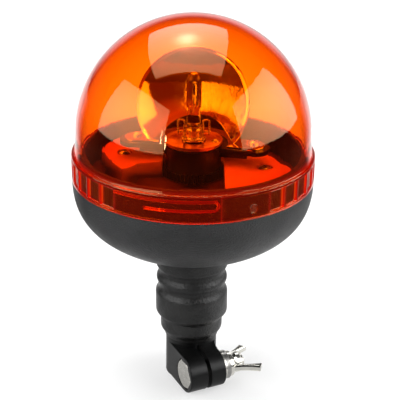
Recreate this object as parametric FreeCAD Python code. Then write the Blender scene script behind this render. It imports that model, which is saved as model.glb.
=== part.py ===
import FreeCAD, Part
import math
import os

from FreeCAD import Vector

# Rotating beacon on a flexible pole socket.
# Millimetres. The origin is the centre of the pole socket's mouth, +Z points up through the dome,
# the clamp ears point to -Y, and the clamp bolt lies along X with its wing nut on the +X side.

# Pole socket and clamp ears
pole_radius = 12.0
pole_clearance = 0.1
pole_depth = 45.0
socket_wall = 3.4
ear_height = 23.0
bolt_reach = 22.4
right_ear_face = 8.0
slot_width = 2.5
slot_centre = -3.0
slit_margin = 1.6
web_radius = 15.0
barb_radius = 19.0
barb_height = 4.0
barb_level = 46.5
barb_lead = 3.0
barb_back = 1.5
spigot_top = 56.0
ear_edge_radius = 0.8

# Contacts
recess_radius = 10.5
contact_ring_radius = 11.4
contact_ring_thickness = 0.8
contact_ring_bore = 7.0
carrier_floor = 2.0
carrier_head_gap = 0.5
plunger_radius = 2.5
plunger_head_radius = 4.5
plunger_head_thickness = 1.5
plunger_nose = 1.5
plunger_recess = 0.3
plunger_travel = 3.0
spring_wire = 0.6
spring_turns = 4
spring_spare = 0.3
contact_cap_thickness = 1.0

# Clamp bolt, M10
bolt_radius = 5.0
bolt_hole_clearance = 0.3
bolt_end_chamfer = 0.8
hex_flats = 17.0
hex_height = 6.4
hex_face_radius = 8.25
hex_chamfer_angle = 30.0
hex_pocket_clearance = 0.3
thread_clearance = 0.05
washer_radius = 9.0
washer_thickness = 2.0
spring_washer_radius = 8.8
spring_washer_thickness = 2.6
spring_washer_gap = 1.2
spring_washer_slant = 20.0
spot_face_clearance = 0.5
bolt_end_reveal = 2.0
nut_hub_radius = 8.0
nut_hub_top_radius = 6.4
nut_hub_height = 9.0
nut_foot_height = 2.5
nut_flare_height = 4.0
nut_flare_pull = 0.4
nut_edge_bevel = 0.8
wing_root_depth = 1.5
wing_root_step = 1.0
wing_reach = 20.0
wing_half_span = 14.6
wing_width = 8.4
wing_thickness = 4.0
wing_edge_radius = 1.2

# Rubber neck
neck_lip_radius = 16.3
neck_collar_radius = 18.9
neck_band_radius = 21.9
neck_lower_groove_radius = 19.9
neck_bulge_radius = 21.4
neck_upper_groove_radius = 19.7
neck_shoulder_radius = 21.7
neck_lip_level = 26.5
neck_collar_low = 33.0
neck_collar_high = 38.0
neck_band_low = 44.0
neck_band_high = 55.0
neck_lower_groove_level = 60.0
neck_bulge_level = 65.0
neck_upper_groove_level = 69.4
neck_shoulder_level = 75.0
neck_inner_radius = 14.0
neck_plug_radius = 15.0
neck_flange_radius = 19.5
neck_flange_thickness = 3.4
neck_throat_step = 2.0
neck_throat_length = 6.0
neck_seat_gap = 0.2

# Beacon base
overall_radius = 70.0
seam_level = 130.5
bowl_bottom_level = 82.6
bowl_bottom_radius = 22.6
bowl_wall = 2.5
bowl_side_pull = 26.0
bowl_floor_pull = 34.0
bowl_floor_slope = 0.40
shoulder_thickness = 3.0
rim_step = 6.0
rim_wall = 2.0
rim_height = 16.7
ledge_drop = 2.5
ledge_width = 2.2
ledge_thickness = 2.5
seal_section_radius = 1.15
seal_drop = 3.0
seal_seat = 0.52
lug_count = 3
pillar_radius = 4.0
anchor_circle = 24.4
anchor_radius = 2.9
anchor_count = 3

# Neck retaining plate and screws
plate_radius = 27.5
plate_thickness = 1.5
plate_hole_radius = 9.0
small_screw_radius = 1.5
small_screw_head_radius = 2.9
small_screw_head_height = 2.0
small_screw_depth = 3.4
screw_end_gap = 0.3
screw_clearance = 0.2
block_length = 24.0
block_width = 9.0
block_height = 8.0
block_corner_radius = 1.5
block_screw_share = 0.36

# Mechanism frame
frame_floor = 2.0
frame_fit = 0.3
frame_block_height = 12.0
frame_block_wall = 2.2
frame_block_lid = 3.0
frame_block_margin = 4.0
frame_block_outline = ((17.8, 4.0), (32.0, 8.5), (40.0, 16.4), (55.2, -12.5))
frame_screw_radius = 1.9
frame_screw_head_radius = 3.6
frame_screw_head_height = 2.4
frame_screw_length = 14.0
frame_screw_spare = 1.0
screw_bite = 0.1
frame_recess_radius = 4.6
frame_recess_depth = 1.4
frame_screw_right = 40.8
frame_screw_front = 9.7
driver_slot_width = 0.9
driver_slot_depth = 1.0

# Lamp column and lamp
column_radius = 8.0
column_bore_radius = 5.6
column_foot_radius = 13.0
column_foot_thickness = 1.6
column_tail = 2.4
lamp_plate_radius = 16.8
lamp_plate_thickness = 1.0
lamp_plate_dish = 0.8
lamp_plate_slope = 1.2
lamp_flange_radius = 7.0
lamp_flange_thickness = 0.8
lamp_sleeve_radius = 4.2
lamp_sleeve_wall = 0.8
lamp_sleeve_flare = 0.9
lamp_sleeve_foot = 1.5
lamp_glass_seat = 3.4
lamp_glass_radius = 4.3
lamp_glass_wall = 0.7
lamp_glass_shoulder = 1.4
lamp_glass_floor = 2.0
lamp_glass_reach = 11.0
lamp_tip_radius = 0.6
lamp_tip_height = 1.3
filament_gap = 11.8
filament_length = 5.0
filament_radius = 0.75
filament_stem_radius = 0.3
filament_post_radius = 0.25
filament_post_reach = 1.9
filament_post_rise = 1.2
clip_wire_radius = 0.6
clip_arm_offset = 5.4
clip_loop_width = 3.6
clip_loop_height = 9.0
clip_front = 9.0
clip_loop_back = 5.0
clip_back = 10.0
clip_bend = 1.1
rivet_radius = 2.2
rivet_height = 1.4
rivet_circle = 12.6
rivet_offset = -8.0

# Rotor
gear_module = 0.7
gear_teeth = 48
pinion_teeth = 10
gear_width = 6.0
gear_level = 131.0
pressure_angle = 20.0
tooth_backlash = 0.16
tooth_dedendum = 1.25
centre_clearance = 0.1
hub_radius = 16.0
hub_wall = 2.0
running_clearance = 0.05
bearing_wall = 2.0
thrust_gap = 0.2
rotor_rib_gap = 3.0
rotor_plate_thickness = 2.5
rotor_lobe_reach = 44.0
rotor_lobe_half_width = 12.0
rotor_disc_radius = 29.0
rotor_rib_height = 4.0
rotor_rib_thickness = 1.8
front_cut = 4.0
retainer_radius = 11.0
retainer_thickness = 1.0
retainer_gap = 3.0

# Reflector
dish_focus = 20.0
dish_lift = 9.0
dish_rim_radius = 31.0
dish_sink = 7.5
dish_wall = 1.5
arch_overlap = 1.0
dish_rim_width = 1.9
dish_bearing = -126.0
reflector_plate_thickness = 1.5
reflector_disc_radius = 26.0
reflector_hole_radius = 20.0
reflector_lobe_reach = 41.0
reflector_lobe_half_width = 9.5
arch_height = 11.0
reflector_screw_reach = 34.5
reflector_screw_angle = 97.0

# Motor
motor_radius = 12.0
motor_length = 27.0
motor_boss_radius = 2.9
motor_shaft_radius = 1.0
motor_bearing = 64.0
motor_cap_thickness = 2.5
motor_screw_spacing = 16.0
motor_screw_head_height = 1.4
motor_edge_bevel = 0.6
motor_shaft_foot = 4.0
motor_shaft_end = 1.0
pinion_bore_fit = 0.01
motor_cap_inset = 0.8
motor_cap_seat = 1.2
terminal_height = 3.0
terminal_width = 2.8
terminal_thickness = 0.6
terminal_spacing = 12.0

# Lens
lens_wall = 2.2
dome_step = 2.7
dome_skirt = 11.1
ring_height = 15.6
dome_foot_flare = 0.9
ring_bevel = 0.6
ribs_per_group = 6
rib_pitch = 9.6
rib_width = 1.7
rib_group_start = 36.0
rib_pocket_depth = 0.8
rib_pocket_margin = 2.0
track_thickness = 1.2
track_depth = 2.0
track_start = -22.0
track_end = 12.0
track_lead = -38.0
stop_width = 1.2
lug_width = 6.0
lug_centre = 7.0
lug_height = 3.4
lug_rise = 7.5
lug_gap = 0.3
lug_reach_gap = 0.5
dimple_radius = 2.3
dimple_depth = 0.4
dimple_offset = 28.0
dimple_rise = 6.0
ring_fit = 0.3

# Leads
lead_radius = 1.1
lead_spacing = 5.0
lead_entry = 3.0
lead_bend = 2.0

# General fits
seat_fit = 0.05
view_bearing = -26.0
front_bearing = view_bearing - 90.0

# Values that follow
rim_radius = overall_radius - rim_step
rim_top_level = seam_level + rim_height
ledge_level = seam_level - ledge_drop
seal_level = rim_top_level - seal_drop
frame_block_top = ledge_level + frame_block_height
rotor_plate_level = frame_block_top + rotor_rib_gap + rotor_rib_height
dome_radius = overall_radius - dome_step
dome_foot_radius = dome_radius + dome_foot_flare
ring_top_level = seam_level + ring_height
dome_centre_level = ring_top_level + dome_skirt
apex_level = dome_centre_level + dome_radius
lug_level = seam_level + lug_rise
dimple_level = seam_level + dimple_rise
bore_radius = pole_radius + pole_clearance
socket_radius = bore_radius + socket_wall
left_ear_face = -socket_radius
bolt_level = ear_height / 2
nut_level = right_ear_face + washer_thickness + spring_washer_thickness
contact_ring_top = pole_depth + contact_ring_thickness
plunger_tip = pole_depth + plunger_recess
carrier_floor_top = contact_ring_top + carrier_floor
spring_foot = carrier_floor_top + plunger_head_thickness
spring_length = plunger_travel + spring_wire * spring_turns + spring_spare
contact_cap_level = spring_foot + spring_length
plate_level = bowl_bottom_level + bowl_wall + neck_flange_thickness
plate_top = plate_level + plate_thickness
frame_top = ledge_level + frame_floor
column_foot_top = frame_top + column_foot_thickness
rotor_top = rotor_plate_level + rotor_plate_thickness
reflector_top = rotor_top + reflector_plate_thickness
lamp_plate_level = rotor_top + thrust_gap + retainer_thickness + thrust_gap
lamp_plate_top = lamp_plate_level + lamp_plate_thickness
lamp_flange_top = lamp_plate_top + lamp_flange_thickness
dish_level = rotor_top + dish_rim_radius - dish_sink
filament_level = dish_level + dish_lift
lamp_sleeve_height = filament_level - filament_gap - lamp_flange_top
lamp_glass_top = filament_level + lamp_glass_reach
motor_top = ledge_level
motor_bottom = motor_top - motor_length
motor_cap_level = motor_bottom - motor_cap_thickness + motor_cap_seat
terminal_level = motor_cap_level - terminal_height
gear_distance = gear_module * (gear_teeth + pinion_teeth) / 2 + centre_clearance
lens_inner_radius = overall_radius - lens_wall
lug_outer_radius = lens_inner_radius - lug_reach_gap

os.makedirs("parts", exist_ok=True)

full_turn = 360.0
up = Vector(0, 0, 1)
centre = Vector(0, 0, 0)
right = Vector(1, 0, 0)


def edges_of(start, steps, place):
    """Edges from start on. A step is a point, (through, end) for an arc, or (pole, pole, end)."""
    edges = []
    last = start
    for step in steps:
        if isinstance(step[0], (int, float)):
            edges.append(Part.makeLine(place(last), place(step)))
            last = step
            continue
        points = [place(point) for point in step]
        if len(step) == 2:
            edges.append(Part.Arc(place(last), points[0], points[1]).toShape())
        else:
            curve = Part.BezierCurve()
            curve.setPoles([place(last)] + points)
            edges.append(curve.toShape())
        last = step[-1]
    if place(last).distanceToPoint(place(start)) > 1e-6:
        edges.append(Part.makeLine(place(last), place(start)))
    return edges


def turned(start, *steps, angle=full_turn):
    """Solid turned about Z from an outline of (radius, height) points."""
    edges = edges_of(start, steps, lambda point: Vector(point[0], 0, point[1]))
    return Part.Face(Part.Wire(edges)).revolve(centre, up, angle)


def flat_shape(level, thickness, start, *steps):
    """Plate of the given thickness whose outline is drawn in plan."""
    edges = edges_of(start, steps, lambda point: Vector(point[0], point[1], level))
    return Part.Face(Part.Wire(edges)).extrude(Vector(0, 0, thickness))


def swing(start_radius, start_level, end_radius, end_level):
    """Smooth S between two radii, upright at both ends: the two poles and the end of a curve."""
    middle = (start_level + end_level) / 2
    return ((start_radius, middle), (end_radius, middle), (end_radius, end_level))


def cap(radius, level, rise):
    """Arc of a round cap whose centre is on the axis: its middle point and its top."""
    sphere = (radius ** 2 + rise ** 2) / (2 * rise)
    middle = level + rise - sphere
    half = math.asin(min(1.0, radius / sphere)) / 2
    if rise > radius:
        half = (math.pi - math.asin(radius / sphere)) / 2
    return (sphere * math.sin(half), middle + sphere * math.cos(half)), (0, level + rise)


def rod(radius, low, high, x=0.0, y=0.0):
    """Upright round bar from one level to another."""
    return Part.makeCylinder(radius, high - low, Vector(x, y, low), up)


def cross_rod(radius, start, end):
    """Round bar along X on the clamp bolt's axis."""
    return Part.makeCylinder(radius, end - start, Vector(start, -bolt_reach, bolt_level), right)


def tube(outer, inner, low, high):
    """Upright tube about Z."""
    return rod(outer, low, high).cut(rod(inner, low, high))


def sector(outer, inner, low, high, bearing, width):
    """Piece of an upright ring, width degrees wide and centred on a bearing."""
    start = (inner, low)
    piece = turned(start, (outer, low), (outer, high), (inner, high), angle=width)
    return spun(piece, bearing - width / 2)


def spun(shape, degrees):
    """Copy turned about Z."""
    return shape.rotated(centre, up, degrees)


def polar(radius, bearing):
    """X and Y of a point at a radius and a bearing."""
    return radius * math.cos(math.radians(bearing)), radius * math.sin(math.radians(bearing))


def toward_view(shape):
    """Turns a shape drawn with +X to the viewer's right and -Y to the viewer into its place."""
    return spun(shape, view_bearing)


def bent_wire(points, bend, radius):
    """Round wire along straight runs joined by tangent arcs."""
    vectors = [Vector(*point) for point in points]
    edges = []
    last = vectors[0]
    for index in range(1, len(vectors) - 1):
        corner = vectors[index]
        back = (vectors[index - 1] - corner).normalize()
        ahead = (vectors[index + 1] - corner).normalize()
        half_turn = (math.pi - back.getAngle(ahead)) / 2
        trim = bend * math.tan(half_turn)
        arc_start = corner + back * trim
        arc_end = corner + ahead * trim
        middle = (back + ahead).normalize()
        through = corner + middle * (bend / math.cos(half_turn) - bend)
        edges.append(Part.makeLine(last, arc_start))
        edges.append(Part.Arc(arc_start, through, arc_end).toShape())
        last = arc_end
    edges.append(Part.makeLine(last, vectors[-1]))
    ring = Part.makeCircle(radius, vectors[0], vectors[1] - vectors[0])
    return Part.Wire(edges).makePipe(Part.Face(Part.Wire(ring)))


def save(name, shape):
    """Writes one sub-part's file."""
    shape.exportStep(os.path.join("parts", name + ".step"))


def screw(head_radius, head_height, shank_radius, shank_length, x, y, level):
    """Pan-head screw standing on a level, with a cross recess."""
    crown = head_height * 0.55
    head = turned((0, 0), (head_radius, 0), (head_radius, crown),
                  cap(head_radius, crown, head_height - crown))
    shank = turned((0, -shank_length), (shank_radius * 0.5, -shank_length),
                   (shank_radius, -shank_length + shank_radius), (shank_radius, 0), (0, 0))
    arm = head_radius * 1.2
    recess = Part.makeBox(arm, driver_slot_width, driver_slot_depth * 2)
    recess.translate(Vector(-arm / 2, -driver_slot_width / 2, head_height - driver_slot_depth))
    piece = head.fuse(shank).cut(recess).cut(spun(recess, 90))
    piece.translate(Vector(x, y, level))
    return piece


# Clamp socket: tube for the pole, split through two ears that the bolt draws together,
# with a barbed spigot above for the rubber neck.
def clamp_socket():
    body = turned((0, 0), (socket_radius, 0), (socket_radius, barb_level - barb_lead),
                  (barb_radius, barb_level), (barb_radius, barb_level + barb_height),
                  (socket_radius, barb_level + barb_height + barb_back), (socket_radius, spigot_top),
                  (0, spigot_top))
    nose = ear_height / 2
    side = edges_of(
        (0, 0),
        [(-bolt_reach, 0), ((-bolt_reach - nose, nose), (-bolt_reach, ear_height)), (0, ear_height)],
        lambda point: Vector(left_ear_face, point[0], point[1]))
    ears = Part.Face(Part.Wire(side)).extrude(Vector(right_ear_face - left_ear_face, 0, 0))
    rounded = [edge for edge in ears.Edges
               if abs(edge.BoundBox.XLength) < 0.01 and edge.BoundBox.YMin < -bolt_reach / 2]
    ears = ears.makeFillet(ear_edge_radius, rounded)
    foot = math.sqrt(socket_radius ** 2 - right_ear_face ** 2)
    web_x = right_ear_face + web_radius
    web_y = -math.sqrt((socket_radius + web_radius) ** 2 - web_x ** 2)
    share = socket_radius / (socket_radius + web_radius)
    touch = (web_x * share, web_y * share)
    turn = math.atan2(touch[1] - web_y, touch[0] - web_x)
    half = (turn + math.pi) / 2
    through = (web_x + web_radius * math.cos(half), web_y + web_radius * math.sin(half))
    web = flat_shape(0, ear_height, (right_ear_face, web_y), (through, touch), (0, -foot / 2),
                     (right_ear_face - slot_width, web_y))
    body = body.fuse(ears).fuse(web)
    body = body.cut(rod(bore_radius, 0, pole_depth))
    body = body.cut(rod(contact_ring_radius + seat_fit, pole_depth, contact_ring_top))
    body = body.cut(rod(recess_radius, contact_ring_top, spigot_top))
    slot = Part.makeBox(slot_width, bolt_reach + ear_height, ear_height + slit_margin)
    slot.translate(Vector(slot_centre - slot_width / 2, -bolt_reach - ear_height, 0))
    body = body.cut(slot)
    body = body.cut(cross_rod(bolt_radius + bolt_hole_clearance, left_ear_face, right_ear_face))
    body = body.cut(cross_rod(washer_radius + spot_face_clearance, right_ear_face, web_x))
    pocket = hexagon(hex_flats + hex_pocket_clearance, left_ear_face, hex_height)
    return body.cut(pocket).removeSplitter()


def hexagon(flats, start, height):
    """Hexagonal bar on the bolt's axis, with two flats level."""
    corner = flats / math.sqrt(3)
    points = []
    for side in range(7):
        angle = math.radians(60 * side)
        points.append(Vector(start, -bolt_reach + corner * math.cos(angle),
                             bolt_level + corner * math.sin(angle)))
    return Part.Face(Part.makePolygon(points)).extrude(Vector(height, 0, 0))


save("clamp_socket", clamp_socket())


# Clamp bolt: its chamfered head sits flush in the left ear, so it can't turn.
def hex_bolt():
    corner = hex_flats / math.sqrt(3)
    under_head = left_ear_face + hex_height
    head = hexagon(hex_flats, left_ear_face, hex_height)
    slope = (corner - hex_face_radius) * math.tan(math.radians(hex_chamfer_angle))
    dome = turned((0, 0), (hex_face_radius, 0), (corner, slope), (corner, hex_height),
                  (0, hex_height))
    dome.rotate(centre, Vector(0, 1, 0), 90)
    dome.translate(Vector(left_ear_face, -bolt_reach, bolt_level))
    end = nut_level + nut_hub_height + bolt_end_reveal
    shank = cross_rod(bolt_radius, under_head, end)
    tip = [edge for edge in shank.Edges if edge.BoundBox.XMin > end - 0.01]
    shank = shank.makeChamfer(bolt_end_chamfer, tip)
    return head.common(dome).fuse(shank)


save("hex_bolt", hex_bolt())


# Washers between the right ear and the nut. The spring washer is cut through and sprung apart.
def plain_washer():
    body = cross_rod(washer_radius, right_ear_face, right_ear_face + washer_thickness)
    hole = cross_rod(bolt_radius + bolt_hole_clearance, right_ear_face,
                     right_ear_face + washer_thickness)
    return body.cut(hole)


def spring_washer():
    start = right_ear_face + washer_thickness
    body = cross_rod(spring_washer_radius, start, nut_level)
    body = body.cut(cross_rod(bolt_radius + bolt_hole_clearance, start, nut_level))
    gap = Part.makeBox(spring_washer_thickness * 2, spring_washer_radius * 2, spring_washer_gap)
    gap.translate(Vector(start - spring_washer_thickness / 2, -bolt_reach,
                         bolt_level - spring_washer_gap / 2))
    middle = Vector(start + spring_washer_thickness / 2, -bolt_reach, bolt_level)
    return body.cut(gap.rotated(middle, Vector(0, 1, 0), spring_washer_slant))


save("plain_washer", plain_washer())
save("spring_washer", spring_washer())


# Wing nut: a tapered hub with two square-ended wings that spread outwards.
def wing_nut():
    top = nut_level + nut_hub_height
    flare_middle = nut_foot_height + nut_flare_height * 0.45
    hub = turned((0, 0), (nut_hub_radius, 0), (nut_hub_radius, nut_foot_height),
                 ((nut_hub_top_radius + nut_flare_pull, flare_middle),
                  (nut_hub_top_radius, nut_foot_height + nut_flare_height)),
                 (nut_hub_top_radius, nut_hub_height - nut_edge_bevel),
                 (nut_hub_top_radius - nut_edge_bevel, nut_hub_height), (0, nut_hub_height))
    hub.rotate(centre, Vector(0, 1, 0), 90)
    hub.translate(Vector(nut_level, -bolt_reach, bolt_level))
    root = nut_hub_top_radius - wing_root_depth
    inner_tip = wing_half_span - wing_width * 0.55
    outer_low = (wing_reach * 0.30, nut_hub_radius + 0.5)
    outer_high = (wing_reach * 0.55, wing_half_span * 0.69)
    outer_tip = (wing_reach - wing_width * 0.38, wing_half_span)
    inner_corner = (wing_reach, inner_tip + 0.6)
    inner_high = (wing_reach * 0.75, inner_tip - wing_edge_radius)
    inner_low = (nut_hub_height * 0.95, nut_hub_top_radius + wing_root_step)
    outline = edges_of(
        (wing_root_step, root),
        [(wing_root_step, nut_hub_radius - wing_root_step / 2),
         (outer_low, outer_high, outer_tip),
         inner_corner,
         (inner_high, inner_low, (nut_hub_height * 0.7, root))],
        lambda point: Vector(nut_level + point[0], point[1], -wing_thickness / 2))
    wing = Part.Face(Part.Wire(outline)).extrude(Vector(0, 0, wing_thickness))
    outer = [edge for edge in wing.Edges
             if edge.BoundBox.YMax > nut_hub_radius + 0.5 and edge.BoundBox.ZLength < 0.01]
    wing = wing.makeFillet(wing_edge_radius, outer)
    wings = wing.fuse(wing.mirror(centre, Vector(0, 1, 0)))
    wings.translate(Vector(0, -bolt_reach, bolt_level))
    bore = cross_rod(bolt_radius + thread_clearance, nut_level, top)
    return hub.fuse(wings).cut(bore)


save("wing_nut", wing_nut())


# Contacts at the top of the pole: a ring that the pole's rim meets, and a sprung centre pin
# in an insulating carrier.
def earth_ring():
    return tube(contact_ring_radius, contact_ring_bore, pole_depth, contact_ring_top)


def contact_carrier():
    outer = recess_radius - seat_fit
    cavity = plunger_head_radius + carrier_head_gap
    body = rod(outer, contact_ring_top, contact_cap_level)
    body = body.cut(rod(cavity, carrier_floor_top, contact_cap_level))
    return body.cut(rod(plunger_radius + running_clearance, contact_ring_top, carrier_floor_top))


def centre_contact():
    flat = plunger_radius - plunger_nose
    slant = plunger_nose * math.sqrt(0.5)
    return turned((0, plunger_tip), (flat, plunger_tip),
                  ((flat + slant, plunger_tip + plunger_nose - slant),
                   (plunger_radius, plunger_tip + plunger_nose)),
                  (plunger_radius, carrier_floor_top), (plunger_head_radius, carrier_floor_top),
                  (plunger_head_radius, spring_foot), (0, spring_foot))


def contact_spring():
    coil = plunger_head_radius - spring_wire
    rise = (spring_length - spring_wire) / (2 * spring_turns)
    start = spring_foot + spring_wire / 2
    edges = []
    for half_turn in range(2 * spring_turns):
        level = start + rise * half_turn
        side = 1 if half_turn % 2 == 0 else -1
        edges.append(Part.Arc(Vector(side * coil, 0, level), Vector(0, side * coil, level + rise / 2),
                              Vector(-side * coil, 0, level + rise)).toShape())
    ring = Part.Wire(Part.makeCircle(spring_wire / 2, Vector(coil, 0, start), edges[0].tangentAt(0)))
    return Part.Wire(edges).makePipe(Part.Face(ring))


def contact_cap():
    return rod(recess_radius - seat_fit, contact_cap_level, contact_cap_level + contact_cap_thickness)


save("earth_ring", earth_ring())
save("contact_carrier", contact_carrier())
save("centre_contact", centre_contact())
save("contact_spring", contact_spring())
save("contact_cap", contact_cap())


# Rubber neck: grips the barbed spigot below, bends at its grooves, and is held in the base
# by a flange above.
def flexible_neck():
    grip = socket_radius + seat_fit
    barb = barb_radius + seat_fit
    floor_top = bowl_bottom_level + bowl_wall
    flange_top = floor_top + neck_flange_thickness
    return turned(
        (grip, neck_lip_level),
        (neck_lip_radius, neck_lip_level),
        swing(neck_lip_radius, neck_lip_level, neck_collar_radius, neck_collar_low),
        (neck_collar_radius, neck_collar_high),
        swing(neck_collar_radius, neck_collar_high, neck_band_radius, neck_band_low),
        (neck_band_radius, neck_band_high),
        swing(neck_band_radius, neck_band_high, neck_lower_groove_radius, neck_lower_groove_level),
        swing(neck_lower_groove_radius, neck_lower_groove_level, neck_bulge_radius,
              neck_bulge_level),
        swing(neck_bulge_radius, neck_bulge_level, neck_upper_groove_radius,
              neck_upper_groove_level),
        swing(neck_upper_groove_radius, neck_upper_groove_level, neck_shoulder_radius,
              neck_shoulder_level),
        (bowl_bottom_radius - neck_seat_gap, bowl_bottom_level),
        (neck_plug_radius, bowl_bottom_level),
        (neck_plug_radius, floor_top),
        (neck_flange_radius, floor_top),
        (neck_flange_radius, flange_top),
        (neck_inner_radius - neck_throat_step, flange_top),
        (neck_inner_radius - neck_throat_step, bowl_bottom_level),
        (neck_inner_radius, bowl_bottom_level - neck_throat_length),
        (neck_inner_radius, spigot_top),
        (grip, spigot_top),
        (grip, barb_level + barb_height + barb_back + seat_fit),
        (barb, barb_level + barb_height),
        (barb, barb_level),
        (grip, barb_level - barb_lead - seat_fit))


save("flexible_neck", flexible_neck())


# Base bowl: one smooth curve from the seam to the flat round the neck, with the lens rim,
# three bayonet lugs, pillars for the mechanism frame and anchors for the neck's plate.
def bowl_curve(inset):
    """Poles of the bowl's side, moved in by a wall."""
    slope_angle = math.atan(bowl_floor_slope)
    rim = overall_radius - inset
    foot_radius = bowl_bottom_radius - inset * math.sin(slope_angle)
    foot_level = bowl_bottom_level + inset * math.cos(slope_angle)
    side = (rim, seam_level - bowl_side_pull + inset * 0.4)
    floor = (foot_radius + bowl_floor_pull, foot_level + bowl_floor_pull * bowl_floor_slope)
    return (rim, seam_level), side, floor, (foot_radius, foot_level)


def bowl_level(radius):
    """Level of the bowl's inner face at a radius, found by halving along its curve."""
    poles = bowl_curve(bowl_wall)
    low = 0.0
    high = 1.0
    for _ in range(40):
        share = (low + high) / 2
        rest = 1 - share
        weights = (rest ** 3, 3 * rest ** 2 * share, 3 * rest * share ** 2, share ** 3)
        here = sum(weight * pole[0] for weight, pole in zip(weights, poles))
        if here > radius:
            low = share
        else:
            high = share
    return sum(weight * pole[1] for weight, pole in zip(weights, poles))


def base_bowl():
    rim, side, floor, foot = bowl_curve(0.0)
    inner_rim, inner_side, inner_floor, inner_foot = bowl_curve(bowl_wall)
    hole = neck_plug_radius + ring_fit
    floor_top = bowl_bottom_level + bowl_wall
    under = seam_level - shoulder_thickness
    rim_inner = rim_radius - rim_wall
    ledge_inner = rim_inner - ledge_width
    ledge_under = ledge_level - ledge_thickness
    body = turned(
        rim, (side, floor, foot),
        (hole, bowl_bottom_level), (hole, floor_top),
        (inner_foot[0] - 1.0, floor_top), inner_foot, (inner_floor, inner_side, (inner_rim[0], under)),
        (rim_radius, under), (rim_radius, ledge_under), (ledge_inner, ledge_under),
        (ledge_inner, ledge_level), (rim_inner, ledge_level), (rim_inner, rim_top_level),
        (rim_radius, rim_top_level), (rim_radius, seam_level))
    groove = Part.makeTorus(rim_radius + seal_seat, seal_section_radius + seat_fit)
    groove.translate(Vector(0, 0, seal_level))
    body = body.cut(groove)
    for turn in range(lug_count):
        lug = sector(lug_outer_radius, rim_radius - rim_wall / 2, lug_level, lug_level + lug_height,
                     front_bearing + lug_centre + turn * full_turn / lug_count, lug_width)
        body = body.fuse(lug)
    pillar_top = frame_block_top - frame_block_lid
    for x, y in frame_screw_places():
        foot_level = bowl_level(math.hypot(x, y)) - bowl_wall / 2
        pillar = rod(pillar_radius, foot_level, pillar_top, x, y)
        pilot = rod(frame_screw_radius - screw_bite, pillar_top - frame_screw_length, pillar_top, x, y)
        body = body.fuse(pillar).cut(pilot)
    for x, y in anchor_places():
        anchor = rod(anchor_radius, floor_top - bowl_wall / 4, plate_level, x, y)
        pilot = rod(small_screw_radius, plate_level - small_screw_depth, plate_level, x, y)
        body = body.fuse(anchor).cut(pilot)
    return body.removeSplitter()


def frame_screw_places():
    """The two screws of the mechanism frame, opposite each other."""
    bearing = view_bearing - math.degrees(math.atan2(frame_screw_front, frame_screw_right))
    x, y = polar(math.hypot(frame_screw_right, frame_screw_front), bearing)
    return [(x, y), (-x, -y)]


def anchor_places():
    """The screws of the neck's plate."""
    step = full_turn / anchor_count
    return [polar(anchor_circle, front_bearing + step * turn) for turn in range(anchor_count)]


save("base_bowl", base_bowl())


# Round rubber seal in the rim's groove.
def lens_seal():
    seal = Part.makeTorus(rim_radius + seal_seat, seal_section_radius)
    seal.translate(Vector(0, 0, seal_level))
    return seal


save("lens_seal", lens_seal())


# Steel plate that clamps the neck's flange to the bowl, its screws, and the terminal block.
def retaining_plate():
    plate = tube(plate_radius, plate_hole_radius, plate_level, plate_top)
    for x, y in anchor_places():
        plate = plate.cut(rod(small_screw_radius + screw_clearance, plate_level, plate_top, x, y))
    return plate


def plate_screws():
    screws = [screw(small_screw_head_radius, small_screw_head_height,
                    small_screw_radius - seat_fit, small_screw_depth + plate_thickness - screw_end_gap,
                    x, y, plate_top)
              for x, y in anchor_places()]
    return Part.makeCompound(screws)


def terminal_block():
    block = Part.makeBox(block_length, block_width, block_height)
    block.translate(Vector(-block_length / 2, -block_width / 2, plate_top))
    corners = [edge for edge in block.Edges if edge.BoundBox.ZLength > block_height - 0.01]
    block = block.makeFillet(block_corner_radius, corners)
    for side in (-1, 1):
        x = side * lead_spacing / 2
        block = block.cut(rod(lead_radius + seat_fit, plate_top, plate_top + block_height, x, 0))
        block = block.cut(rod(small_screw_radius, plate_top + block_height / 2,
                              plate_top + block_height, side * block_length * block_screw_share, 0))
    return block


save("retaining_plate", retaining_plate())
save("plate_screws", plate_screws())
save("terminal_block", terminal_block())


# Mechanism frame: a moulded floor on the bowl's ledge with two hollow raised blocks.

def block_shape(grow, low, high):
    """One raised block, grown or shrunk all round."""
    near, middle, back, side = frame_block_outline
    outer = rim_radius - rim_wall - frame_block_margin + grow
    inner_x = near[0] - grow
    reach = math.hypot(side[0] + grow, side[1])
    share = min(1.0, outer / reach)
    edge = reach * share
    side_point = ((side[0] + grow) * share, side[1] * share)
    end_y = -math.sqrt(outer ** 2 - inner_x ** 2)
    half = (math.atan2(side_point[1], side_point[0]) + math.atan2(end_y, inner_x)) / 2
    reach_half = (edge + outer) / 2
    through = (reach_half * math.cos(half), reach_half * math.sin(half))
    shape = flat_shape(low, high - low, (inner_x, near[1] + grow), (middle[0], middle[1] + grow),
                       (back[0], back[1] + grow), side_point, (through, (inner_x, end_y)))
    return toward_view(shape)


def mechanism_frame():
    outer = rim_radius - rim_wall - frame_fit
    body = rod(outer, ledge_level, frame_top)
    block = block_shape(0.0, ledge_level, frame_block_top)
    hollow = block_shape(-frame_block_wall, ledge_level, frame_block_top - frame_block_lid)
    for turn in (0, 180):
        body = body.fuse(spun(block, turn)).cut(spun(hollow, turn))
    for x, y in frame_screw_places():
        body = body.cut(rod(frame_screw_radius + screw_clearance, ledge_level, frame_block_top, x, y))
        body = body.cut(rod(frame_recess_radius, frame_block_top - frame_recess_depth,
                            frame_block_top, x, y))
    body = body.cut(rod(column_radius + seat_fit, ledge_level, frame_top))
    motor_x, motor_y = polar(gear_distance, motor_bearing)
    body = body.cut(rod(motor_boss_radius + seat_fit, ledge_level, frame_top, motor_x, motor_y))
    for x, y in motor_screw_places():
        body = body.cut(rod(small_screw_radius + screw_clearance, ledge_level, frame_top, x, y))
    return body.removeSplitter()


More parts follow.
